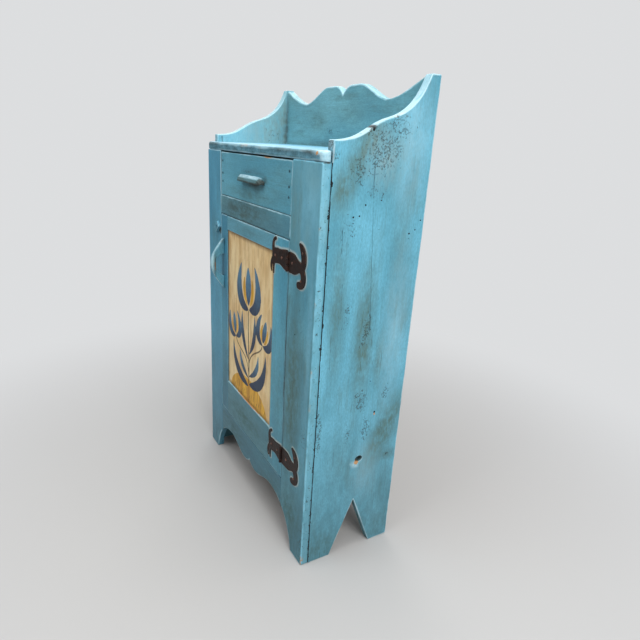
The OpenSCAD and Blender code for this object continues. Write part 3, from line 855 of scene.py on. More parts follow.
    def covers(self, uv: Array, up: Array) -> dict[str, Array]:
        """How much of each kind of mark the vertices have: the most that an oval or edge gives.

        Args:
            uv: the vertices on the board's plane.
            up: their height, from 0 at the back to 1 at the front.

        Returns:
            The covers by attribute name.
        """
        cut, thick = self.cut, self.high - self.low
        facing = smooth(up, 0.4, 0.7)
        wall = smooth((1 - up) * thick, 0.6, 2.2) * smooth(up * thick, 0.6, 2.2)
        found = {}
        for kind in (mark.name for mark in fields(Marks)):
            part = 1 if kind == "kept" else wall
            cover = [Oval(*o).cover(uv) * facing for o in getattr(cut, kind)]
            cover += [Oval(*o).cover(uv) * (1 - facing) for o in getattr(cut.behind, kind)]
            cover += [getattr(e, kind) * e.holds(uv) * part for e in cut.edges if getattr(e, kind)]
            if cover:
                found[kind] = np.max(cover, 0)
        # A pale ring round the irons, moved up and right: worn paint and a painted highlight.
        if cut.halo:
            near = cut_distance(uv - HALO_LEAN, cut.halo) - 1.2 * ripple(*(uv * 4).T, cut.seed)
            found["halo"] = (1 - smooth(near, 0.8, 4.4)) * facing
        return found

    def surface(self) -> Surface:
        """The whole board.

        The face sinks by the ripple and by its pits and cracks. The attribute arris holds the
        distance to the nearest arris in millimetres, and each mark its cover. Where a narrow place
        makes the arris cross itself, the board is laid out again with a finer one.

        Returns:
            The closed surface.
        """
        cut = self.cut
        edges = [self.rings(*edge) for edge in zip(self.loops, self.radii, self.rough)]
        filled = self.fill([ring[0, :, :2] for ring, _ in edges])
        if filled is None:
            self.radii = [0.75 * r for r in self.radii]
            self.rough = [0.6 * r for r in self.rough]
            return self.surface()
        inner, tri = filled
        away = np.maximum(cut_distance(inner, self.loops) - cut.arris, 0)
        points, faces, arris, fronts, backs = [], [], [], [], []
        start = 0
        for ring, wall in edges:
            rows, count = wall.shape
            faces.append(band(rows, count, start))
            fronts.append(np.arange(count) + start)
            backs.append(np.arange(count) + start + (rows - 1) * count)
            points.append(ring.reshape(-1, 3))
            arris.append(wall.ravel())
            start += rows * count
        for level, ids, flip in ((self.high, fronts, False), (self.low, backs, True)):
            lookup = np.concatenate([*ids, np.arange(len(inner)) + start])
            faces.append(lookup[tri[:, ::-1] if flip else tri])
            points.append(np.column_stack([inner, np.full(len(inner), level)]))
            arris.append(away)
            start += len(inner)
        uvn = np.concatenate(points)
        uv, n = uvn[:, :2], uvn[:, 2].copy()
        up = (n - self.low) / (self.high - self.low)
        none = np.zeros(len(uv))
        front = [*self.pits, *(c for c in cut.cracks if not c.behind)]
        sunk = sum((m.sink(uv) for m in front), none) * (n > self.high - 1e-6)
        under = sum((c.sink(uv) for c in cut.cracks if c.behind), none) * (n < self.low + 1e-6)
        uvn[:, 2] -= up * cut.wave * ripple(*uv.T, cut.seed) + sunk
        uvn[:, 2] += (1 - up) * cut.wave * ripple(*uv.T, cut.seed + 11) + under
        marks = {"arris": np.concatenate(arris), **self.covers(uv, up)}
        marks["pit"] = np.maximum(np.clip((sunk + under) / 0.8, 0, 1), marks.get("pit", 0))
        return Surface(uvn @ cut.plane.basis, [f for part in faces for f in part.tolist()], marks)


# Finishes

GAP = (26, 29, 29)
# grime, and painted shade in gaps and painted shadows
GRIME_AND_SHADE = (62, 70, 66)
WOOD_GRIME = (62, 44, 32)
WOOD = (206, 164, 118)
WOOD_DARK = (176, 128, 84)
# the pale ring round the irons: rubbed paint and a painted highlight
RUBBED_AND_HIGHLIGHT = (196, 208, 204)
CRACKLE = (52, 60, 58)
WORN_WOOD = (70, 56, 44)
WOOD_GAP = (30, 24, 20)
BRIGHT_IRON = (140, 112, 96)


class Wiring:
    """Adds shader nodes to one tree and joins them."""

    def __init__(self, tree: bpy.types.NodeTree) -> None:
        """Keeps the tree that nodes go into."""
        self.tree = tree

    @classmethod
    def emptied(cls, owner: Any) -> Wiring:
        """Starts on a new material or world.

        Args:
            owner: the material or world, whose tree is emptied.

        Returns:
            The wiring of its tree.
        """
        owner.use_nodes = True
        owner.node_tree.nodes.clear()
        return cls(owner.node_tree)

    def node(self, kind: str, inputs: Mapping[Any, Any] | None = None, **settings: Any) -> Any:
        """Adds a node.

        Args:
            kind: the node's type without its ShaderNode prefix.
            inputs: a value or another node's output for each input, by name or number.
            **settings: properties of the node.

        Returns:
            The node.
        """
        made = self.tree.nodes.new("ShaderNode" + kind)
        for key, value in settings.items():
            setattr(made, key, value)
        for key, value in (inputs or {}).items():
            if isinstance(value, bpy.types.NodeSocket):
                self.tree.links.new(value, made.inputs[key])
            else:
                made.inputs[key].default_value = value
        return made

    def math(self, operation: str, *values: Any) -> Any:
        """The output of a Math node."""
        return self.node("Math", dict(enumerate(values)), operation=operation).outputs[0]

    def times(self, *values: Any) -> Any:
        """The product of all the values."""
        return reduce(lambda a, b: self.math("MULTIPLY", a, b), values)

    def plus(self, a: Any, b: Any) -> Any:
        """The sum of two values."""
        return self.math("ADD", a, b)

    def less(self, a: Any, b: Any) -> Any:
        """The first value less the second."""
        return self.math("SUBTRACT", a, b)

    def most(self, a: Any, b: Any) -> Any:
        """The larger of two values."""
        return self.math("MAXIMUM", a, b)

    def ramp(self, value: Any, low: Any, high: Any, start: float = 0, end: float = 1) -> Any:
        """A value eased from start at low to end at high."""
        return self.node(
            "MapRange",
            {"Value": value, "From Min": low, "From Max": high, "To Min": start, "To Max": end},
            interpolation_type="SMOOTHSTEP",
        ).outputs["Result"]

    def noise(self, vector: Any, scale: Any, detail: float, rough: float) -> Any:
        """The value of a noise texture."""
        return self.node(
            "TexNoise", {"Vector": vector, "Scale": scale, "Detail": detail, "Roughness": rough}
        ).outputs[0]

    def place(self) -> Any:
        """The object's own coordinates."""
        return self.node("TexCoord").outputs["Object"]

    def drawn(self, vector: Any, by: float) -> Any:
        """A vector that draws a pattern out along the grain, by multiplying its third part."""
        return self.node("VectorMath", {0: vector, 1: (1, 1, by)}, operation="MULTIPLY").outputs[0]

    def moved(self, vector: Any, by: Any) -> Any:
        """A vector with another added."""
        return self.node("VectorMath", {0: vector, 1: by}, operation="ADD").outputs[0]

    def mix(self, share: Any, a: Any, b: Any) -> Any:
        """A colour between a and b, which are 8-bit display colours or outputs."""
        a, b = (linear(c) if isinstance(c, tuple) else c for c in (a, b))
        return self.node("Mix", {0: share, 6: a, 7: b}, data_type="RGBA").outputs[2]

    def vertex(self, name: str) -> Any:
        """The value of a vertex attribute."""
        return self.node("Attribute", attribute_name=name).outputs["Fac"]


@dataclass(frozen=True)
class Pattern:
    """A pattern that finishes share, as a node group with a vector and values going in."""

    name: str
    draw: Callable[[Wiring, Any], dict[str, Any]]
    values: Mapping[str, float] = field(default_factory=dict)

    def tree(self) -> bpy.types.NodeTree:
        """The node group, made once.

        Returns:
            The group.
        """
        if self.name in bpy.data.node_groups:
            return bpy.data.node_groups[self.name]
        tree = bpy.data.node_groups.new(self.name, "ShaderNodeTree")
        sockets = tree.interface
        sockets.new_socket("Vector", in_out="INPUT", socket_type="NodeSocketVector")
        for key, value in self.values.items():
            made = sockets.new_socket(key, in_out="INPUT", socket_type="NodeSocketFloat")
            made.default_value = value
        shown = self.draw(Wiring(tree), tree.nodes.new("NodeGroupInput").outputs)
        for key in shown:
            sockets.new_socket(key, in_out="OUTPUT", socket_type="NodeSocketFloat")
        out = tree.nodes.new("NodeGroupOutput")
        for key, value in shown.items():
            tree.links.new(value, out.inputs[key])
        return tree

    def on(self, w: Wiring, vector: Any, **values: Any) -> Any:
        """Places the pattern in a tree.

        Args:
            w: the tree's wiring.
            vector: the coordinates.
            **values: what goes into its other inputs.

        Returns:
            Its outputs.
        """
        return w.node("Group", {"Vector": vector, **values}, node_tree=self.tree()).outputs


def clouds(w: Wiring, given: Any) -> dict[str, Any]:
    """Slow clouds of tone, drawn out along the grain.

    Args:
        w: the group's wiring.
        given: its inputs.

    Returns:
        Its outputs by name.
    """
    vector = given["Vector"]
    coarse = w.noise(w.drawn(vector, 0.42), given["Size"], 4, 0.6)
    fine = w.noise(w.drawn(vector, 0.3), 46, 4, 0.65)
    grit = w.noise(w.drawn(vector, 0.35), 360, 3, 0.7)
    cloud = w.ramp(coarse, 0.34, 0.66)
    return {"Cloud": cloud, "Fine": w.ramp(fine, 0.3, 0.7), "Grit": w.ramp(grit, 0.34, 0.66)}


def brush_marks(w: Wiring, given: Any) -> dict[str, Any]:
    """Brush marks: noise drawn out up to forty times along the grain.

    Args:
        w: the group's wiring.
        given: its inputs.

    Returns:
        Its outputs by name.
    """
    vector = given["Vector"]
    thin = w.noise(w.drawn(vector, 0.028), 330, 3, 0.6)
    broad = w.noise(w.drawn(vector, 0.07), 70, 3, 0.6)
    hairs = w.noise(w.moved(w.drawn(vector, 0.06), (6, 3, 5)), 210, 4, 0.7)
    return {
        "Marks": w.ramp(thin, 0.32, 0.68),
        "Broad": w.ramp(broad, 0.34, 0.66),
        "Hairs": w.ramp(hairs, 0.58, 0.7),
    }


def worn_edges(w: Wiring, given: Any) -> dict[str, Any]:
    """Where an arris is rubbed pale, and where it is rubbed through to the wood.

    Args:
        w: the group's wiring.
        given: its inputs.

    Returns:
        Its outputs by name.
    """
    vector = given["Vector"]
    jitter = w.less(w.noise(vector, 120, 3, 0.6), 0.5)
    patch = w.noise(vector, 15, 3, 0.6)
    reach = w.times(given["Reach"], w.ramp(patch, 0.32, 0.68, 0.2, 1.6))
    place = w.plus(given["Distance"], w.times(jitter, 2.6))
    shown = w.ramp(patch, 0.34, 0.56, 0.25, 1)
    rub = w.ramp(w.noise(w.moved(vector, (3, 1, 2)), 24, 4, 0.7), 0.58, 0.74)
    near = w.ramp(place, 0.2, 1.2, 1, 0)
    return {
        "Pale": w.times(w.ramp(w.math("DIVIDE", place, reach), 0, 1, 1, 0), shown),
        "Bare": w.times(rub, near, given["Through"]),
    }


def crackle(w: Wiring, given: Any) -> dict[str, Any]:
    """Short dark squiggles: contour lines of a noise, kept only where another noise is high.

    Args:
        w: the group's wiring.
        given: its inputs.

    Returns:
        Its outputs by name.
    """
    vector = given["Vector"]
    level = w.noise(vector, given["Size"], 3, 0.55)
    lines = w.ramp(w.math("ABSOLUTE", w.less(level, 0.5)), 0.012, 0.04, 1, 0)
    broken = w.noise(w.moved(vector, (5, 7, 1)), 74, 3, 0.6)
    floor = w.less(0.75, w.times(given["Cover"], 0.31))
    keep = w.ramp(broken, floor, w.plus(floor, 0.06))
    dots = w.noise(w.moved(vector, (1, 9, 4)), 200, 2, 0.5)
    speck = w.ramp(dots, w.plus(floor, 0.1), w.plus(floor, 0.16), 0, 0.6)
    return {"Lines": w.most(w.times(lines, keep), speck)}


def wood_grain(w: Wiring, given: Any) -> dict[str, Any]:
    """Softwood: bent growth rings and fine fibres.

    Args:
        w: the group's wiring.
        given: its inputs.

    Returns:
        Its outputs by name.
    """
    vector = given["Vector"]
    drawn = w.drawn(vector, 0.09)
    warp = w.node("TexNoise", {"Vector": drawn, "Scale": 11, "Detail": 2}).outputs["Color"]
    bend = w.node("VectorMath", {0: warp, "Scale": 0.12}, operation="SCALE").outputs[0]
    wave = {"Scale": 42, "Distortion": 2.5, "Detail": 3, "Detail Scale": 1.5}
    wave["Vector"] = w.moved(drawn, bend)
    rings = w.node("TexWave", wave, bands_direction="X").outputs["Fac"]
    fibres = w.noise(w.drawn(vector, 0.03), 420, 3, 0.65)
    return {"Rings": rings, "Fibres": w.ramp(fibres, 0.3, 0.7)}


CLOUD = Pattern("Cloudy tone", clouds, {"Size": 9.0})
STREAK = Pattern("Brush marks", brush_marks)
WEAR = Pattern("Worn edges", worn_edges, {"Distance": 10.0, "Reach": 2.5, "Through": 0.3})
SQUIGGLES = Pattern("Crackle", crackle, {"Cover": 0.0, "Size": 85.0})
GRAIN = Pattern("Wood grain", wood_grain)


def grain_space(w: Wiring, grain: Grain, seed: float) -> Any:
    """Object coordinates turned so that the grain runs along the third, and moved by the seed.

    Args:
        w: the material's wiring.
        grain: the way the grain runs.
        seed: what moves them.

    Returns:
        The coordinates.
    """
    parts = w.node("SeparateXYZ", {0: w.place()}).outputs
    turned = w.node("CombineXYZ", {i: parts[k] for i, k in enumerate(grain.value)}).outputs[0]
    return w.moved(turned, (seed * 0.37, seed * 0.71, seed * 0.53))


@dataclass(frozen=True)
class Look:
    """What a finish gives its shader: a colour, a roughness, a gloss and a fine relief."""

    colour: Any
    rough: Any
    gloss: float
    height: Any
    relief: float
    depth: float
    metallic: float = 0.0


@dataclass(frozen=True)
class Finish:
    """A finish, which becomes one material, and its slot."""

    name: str
    slot: Slot = Slot.PAINT

    def look(self, w: Wiring) -> Look:
        """Draws the finish; each kind of finish has its own."""
        raise NotImplementedError

    def material(self) -> bpy.types.Material:
        """The finish as a material, made once for each name.

        Returns:
            The material.
        """
        if self.name in bpy.data.materials:
            return bpy.data.materials[self.name]
        material = bpy.data.materials.new(self.name)
        w = Wiring.emptied(material)
        look = self.look(w)
        relief = {"Strength": look.relief, "Distance": look.depth, "Height": look.height}
        shader = w.node(
            "BsdfPrincipled",
            {
                "Base Color": look.colour,
                "Roughness": look.rough,
                "Metallic": look.metallic,
                "Specular IOR Level": look.gloss,
                "Normal": w.node("Bump", relief).outputs[0],
            },
        )
        w.node("OutputMaterial", {"Surface": shader.outputs[0]})
        return material


@dataclass(frozen=True)
class AgedPaint(Finish):
    """Blue milk paint: rubbed-in brown glaze, pale worn arrises, drying marks and painted light.

    The seam, where there is one, is the place of a joint on the second axis and the height where
    it ends.
    """

    grain: Grain = Grain.ALONG_Z
    light: Rgb = (121, 190, 208)
    deep: Rgb = (92, 160, 180)
    glaze: Rgb = (92, 124, 120)
    pale: Rgb = (172, 212, 224)
    wash: float = 0.35
    reach: float = 1.7
    through: float = 0.5
    crackle: float = 0.1
    hairs: float = 0.4
    seed: float = 0.0
    seam: Pair | None = None

    def look(self, w: Wiring) -> Look:
        """Paint, then glaze, painted shade and light, grime, wear and cracks, from the bottom up.

        Args:
            w: the material's wiring.

        Returns:
            The look.
        """
        vector = grain_space(w, self.grain, self.seed)
        cloud, streak = CLOUD.on(w, vector), STREAK.on(w, vector)
        mottle = w.noise(w.moved(w.drawn(vector, 0.5), (4, 4, 2)), 70, 6, 0.7)
        colour = w.mix(cloud["Cloud"], self.deep, self.light)
        colour = w.mix(w.times(streak["Marks"], 0.175), colour, shade(self.deep, 0.8))
        patchy = w.noise(w.moved(w.drawn(vector, 0.35), (9, 2, 4)), 13, 5, 0.68)
        base = w.ramp(patchy, 0.46, 0.68, 0, self.wash)
        # wash: the brown glaze, and painted shade on the lip's front and on the pull's lower faces
        local = w.times(w.vertex("wash"), w.ramp(mottle, 0.26, 0.7, 0.3, 1.1))
        streaky = w.ramp(streak["Broad"], 0.15, 0.8, 0.35, 1.15)
        wash = w.most(w.times(base, streaky), local)
        colour = w.mix(wash, colour, self.glaze)
        # Darker towards the bottom: painted shade near the floor, with dirt on the feet.
        height = w.node("SeparateXYZ", {0: w.place()}).outputs[2]
        low = w.times(w.ramp(height, 0.02, 0.52, 0.62, 0), w.ramp(mottle, 0.3, 0.66, 0.55, 1))
        foot = tuple(int(0.3 * d + 0.45 * g) for d, g in zip(self.deep, self.glaze))
        colour = w.mix(low, colour, foot)
        colour = w.mix(w.times(cloud["Grit"], 0.26), colour, shade(self.deep, 0.62))
        marked = w.plus(w.ramp(cloud["Fine"], 0.3, 0.9, 0.15, 0.6), w.vertex("wash"))
        hairs = w.times(streak["Hairs"], w.times(marked, self.hairs))
        colour = w.mix(hairs, colour, shade(self.glaze, 0.72))
        distance = w.vertex("arris")
        worn = WEAR.on(w, vector, Distance=distance, Reach=self.reach, Through=self.through)
        whole = w.less(1.0, w.vertex("kept"))
        dark = w.vertex("pit")
        if self.seam:
            away, seam = self.seam_mask(w, vector)
            whole = w.times(whole, w.ramp(away, 0.002, 0.007))
            dark = w.most(dark, seam)
        # pale: worn paint, and painted highlights on faces and arrises turned to the lamps
        rubbed = w.times(w.vertex("pale"), w.ramp(mottle, 0.3, 0.62, 0.5, 1))
        pale = w.most(w.times(worn["Pale"], w.times(whole, 0.75)), rubbed)
        colour = w.mix(pale, colour, self.pale)
        # halo: a pale ring round the irons, moved up and right: worn paint and a painted highlight
        halo = w.times(w.vertex("halo"), w.ramp(mottle, 0.25, 0.6, 0.45, 1))
        colour = w.mix(w.times(halo, 0.8), colour, RUBBED_AND_HIGHLIGHT)
        # dirt: grime, and painted shade in gaps and painted shadows of the button and the pull
        dirt = w.times(w.vertex("dirt"), w.ramp(cloud["Fine"], 0.1, 0.7, 0.5, 1))
        colour = w.mix(dirt, colour, GRIME_AND_SHADE)
        scuff = w.times(w.less(w.noise(vector, 130, 4, 0.7), 0.5), 0.9)
        patch = w.ramp(w.plus(w.vertex("bare"), scuff), 0.42, 0.52)
        bare = w.most(w.times(worn["Bare"], whole), patch)
        wood = w.mix(GRAIN.on(w, vector)["Fibres"], WOOD_DARK, WOOD)
        colour = w.mix(bare, colour, w.mix(w.times(dirt, 0.8), wood, WOOD_GRIME))
        cover = w.plus(w.vertex("crackle"), self.crackle)
        lines = SQUIGGLES.on(w, vector, Cover=cover)["Lines"]
        colour = w.mix(w.times(lines, 0.8), colour, CRACKLE)
        colour = w.mix(dark, colour, GAP)
        height = w.less(w.times(streak["Marks"], 0.35), w.times(lines, 0.8))
        height = w.less(height, w.times(bare, 0.5))
        height = w.plus(height, w.times(w.vertex("halo"), 2.0))
        return Look(colour, w.ramp(wash, 0, 1, 0.42, 0.6), 0.25, height, 0.35, 0.0006)

    def seam_mask(self, w: Wiring, vector: Any) -> tuple[Any, Any]:
        """A dark broken line where two boards meet, with chips where a noise peaks.

        Args:
            w: the material's wiring.
            vector: the coordinates of its patterns.

        Returns:
            The distance from the joint, and the mask.
        """
        place, top = self.seam
        at = w.node("SeparateXYZ", {0: w.place()}).outputs
        away = w.math("ABSOLUTE", w.less(at[1], place * MM))
        away = w.plus(away, w.math("GREATER_THAN", at[2], top * MM))
        chips = w.ramp(w.noise(vector, 52, 4, 0.75), 0.54, 0.7, 0, 0.005)
        line = w.ramp(w.noise(w.moved(vector, (2, 8, 3)), 33, 3, 0.6), 0.34, 0.5, 0.0006, 0.0016)
        return away, w.ramp(w.math("DIVIDE", away, w.plus(chips, line)), 0.75, 1, 1, 0)


@dataclass(frozen=True)
class BareWood(Finish):
    """Old unpainted softwood, browned by age and dust."""

    slot: Slot = Slot.WOOD
    grain: Grain = Grain.ALONG_X
    light: Rgb = (178, 146, 106)
    dark: Rgb = (128, 98, 68)
    seed: float = 0.0

    def look(self, w: Wiring) -> Look:
        """Rings and fibres, greyed in clouds and dark on the arrises.

        Args:
            w: the material's wiring.

        Returns:
            The look.
        """
        vector = grain_space(w, self.grain, self.seed)
        grain, cloud = GRAIN.on(w, vector), CLOUD.on(w, vector, Size=6.0)
        colour = w.mix(w.times(grain["Rings"], 0.65), self.light, self.dark)
        colour = w.mix(w.times(grain["Fibres"], 0.3), colour, shade(self.dark, 0.72))
        colour = w.mix(w.ramp(cloud["Cloud"], 0, 1, 0.05, 0.5), colour, shade(self.dark, 0.5, 52))
        colour = w.mix(w.ramp(w.vertex("arris"), 0, 3, 0.35, 0), colour, WORN_WOOD)
        colour = w.mix(w.vertex("pit"), colour, WOOD_GAP)
        return Look(colour, 0.72, 0.3, grain["Fibres"], 0.4, 0.0005)


@dataclass(frozen=True)
class OldIron(Finish):
    """Forged iron under old lacquer, rust-brown where it is handled."""

    slot: Slot = Slot.IRON
    base: Rgb = (36, 26, 24)
    rust: Rgb = (66, 43, 35)
    rough: float = 0.5
    metallic: float = 0.2
    edge: float = 0.0

    def look(self, w: Wiring) -> Look:
        """Spots of rust and black, and arrises rubbed bright.

        Args:
            w: the material's wiring.

        Returns:
            The look.
        """
        vector = w.place()
        spots = w.ramp(w.noise(vector, 120, 5, 0.7), 0.45, 0.68)
        black = w.ramp(w.noise(w.moved(vector, (4, 1, 6)), 60, 4, 0.6), 0.5, 0.68)
        colour = w.mix(spots, self.base, self.rust)
        colour = w.mix(w.times(black, 0.7), colour, shade(self.base, 0.75))
        rub = w.times(w.ramp(w.vertex("arris"), 0, 0.9, self.edge, 0), spots)
        colour = w.mix(rub, colour, BRIGHT_IRON)
        height = w.plus(w.noise(vector, 380, 4, 0.7), w.noise(vector, 90, 2, 0.5))
        rough = w.ramp(spots, 0, 1, self.rough, self.rough + 0.2)
        return Look(colour, rough, 0.3, height, 0.5, 0.0007, self.metallic)


@dataclass(frozen=True)
class PaintedPanel(Finish):
    """Aged cream ground with brown glaze, and the flower spray's blue and ochre strokes."""

    name: str = "panel_cream_flowers"
    slot: Slot = Slot.PANEL

    def look(self, w: Wiring) -> Look:
        """The ground, the strokes over it, then the glaze in the corners and the crackle.

        Args:
            w: the material's wiring.

        Returns:
            The look.
        """
        vector = w.place()
        cloud, streak = CLOUD.on(w, vector, Size=16.0), STREAK.on(w, vector)
        colour = w.mix(cloud["Cloud"], (250, 229, 181), (234, 203, 148))
        glaze = w.times(streak["Broad"], w.ramp(cloud["Fine"], 0.2, 0.8, 0.06, 0.52))
        colour = w.mix(glaze, colour, (182, 136, 82))
        colour = w.mix(w.times(streak["Marks"], 0.14), colour, (140, 104, 66))
        jitter = w.less(w.noise(w.drawn(vector, 0.4), 120, 4, 0.7), 0.5)

        def stroke(name: str, strength: float, soft: float = 0.7) -> Any:
            """A mask of where a shape's signed distance, roughened, is below nought."""
            away = w.plus(w.vertex(name), w.times(jitter, 3.2))
            return w.times(w.ramp(away, -soft, soft, 1, 0), strength)

        ochre = w.mix(streak["Broad"], (236, 186, 62), (188, 134, 42))
        colour = w.mix(stroke("ochre", 0.93), colour, ochre)
        tone = w.ramp(w.plus(w.vertex("tone"), w.times(jitter, 0.7)), 0.2, 0.9)
        blue = w.mix(tone, (24, 48, 80), (84, 138, 172))
        blue = w.mix(w.times(streak["Marks"], 0.3), blue, (52, 92, 124))
        colour = w.mix(stroke("petal", 0.96), colour, blue)
        colour = w.mix(stroke("line", 0.85, 0.5), colour, (66, 50, 40))
        rim = w.plus(w.vertex("rim"), w.times(jitter, 9.0))
        colour = w.mix(w.ramp(rim, 1, 15, 0.62, 0), colour, (112, 78, 48))
        lines = SQUIGGLES.on(w, vector, Cover=0.35, Size=150.0)["Lines"]
        colour = w.mix(w.times(lines, 0.35), colour, (120, 84, 54))
        height = w.less(w.times(streak["Marks"], 0.4), lines)
        return Look(colour, 0.55, 0.25, height, 0.3, 0.0005)


IRON = OldIron("wrought_iron_lacquered", edge=0.5)
NAIL_IRON = OldIron("nail_iron", base=(98, 74, 66), rust=(150, 112, 98), rough=0.45)
DRAWER_NAIL = OldIron("drawer_nail_iron", base=(50, 88, 102), rust=(66, 92, 98))
PAINTED_SCREW = OldIron(
    "painted_screw_iron", base=(86, 146, 168), rust=(66, 104, 118), metallic=0.0
)
BACK_NAIL = OldIron("back_nail_iron", base=(70, 60, 54), rust=(110, 78, 60))
STEEL = OldIron(
    "dull_screw_steel", Slot.STEEL, (122, 120, 116), (96, 88, 80), rough=0.38, metallic=0.8
)


# The workshop


class Workshop:
    """Makes pieces from CAD nodes, hands each one to its node's body and hides the node."""

    def __init__(self) -> None:
        """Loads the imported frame."""
        self.objects: dict[str, bpy.types.Object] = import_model()["nodes"]
        self.pieces = 0

    def solid(self, node: str) -> Solid:
        """The node's merged faces."""
        return Solid(node, self.objects)

    def place(self, obj: bpy.types.Object, slot: Slot, node: str) -> None:
        """Hands a finished piece to the body of the node that it replaces.

        Args:
            obj: the piece.
            slot: the record's slot for its finish; not used.
            node: the CAD node it stands for.
        """
        body = self.objects[node]["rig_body"]
        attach(obj, body)
        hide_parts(node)
        self.pieces += 1
        log.info("%s: %d faces on %s", obj.name, len(obj.data.polygons), body)

    def board(self, node: str, cut: Cut, finish: Finish) -> None:
        """Makes a board in place of its node."""
        surface = Board(self.solid(node), cut).surface()
        self.place(surface.object(f"{node}.worn", finish.material()), finish.slot, node)

    def painted(self, node: str, cut: Cut, **paint: Any) -> None:
        """Makes a board with its own mix of the paint."""
        self.board(node, cut, AgedPaint(f"paint_{node}", **paint))

    def copied(self, node: str, finish: Finish) -> None:
        """Makes a small hard piece in the node's own shape, joined up and smooth-shaded.

        Args:
            node: the CAD node.
            finish: its finish.
        """
        mesh = self.objects[node].data.copy()
        reworked(mesh, lambda s: bmesh.ops.remove_doubles(s, verts=s.verts, dist=MERGE))
        mesh.materials.clear()
        mesh.materials.append(finish.material())
        mesh.polygons.foreach_set("use_smooth", np.ones(len(mesh.polygons), bool))
        mesh.set_sharp_from_angle(angle=SHARP)
        self.place(added(f"{node}.finished", mesh), finish.slot, node)

    def outlines(self, *nodes: str) -> Loops:
        """The irons' outlines: round them the paint is rubbed pale and has a painted highlight."""
        return tuple(self.solid(n).loops(Plane.FRONT, IRON_BACK)[0] for n in nodes)


def reworked(mesh: bpy.types.Mesh, work: Callable[[bmesh.types.BMesh], Any]) -> None:
    """Does one piece of work on a mesh.

    Args:
        mesh: the mesh.
        work: what is done to its editable copy.
    """
    shape = bmesh.new()
    shape.from_mesh(mesh)
    work(shape)
    shape.to_mesh(mesh)
    shape.free()


# The cupboard


@dataclass(frozen=True)
class Part:
    """A sub-assembly, with the workshop that makes its pieces."""

    shop: Workshop


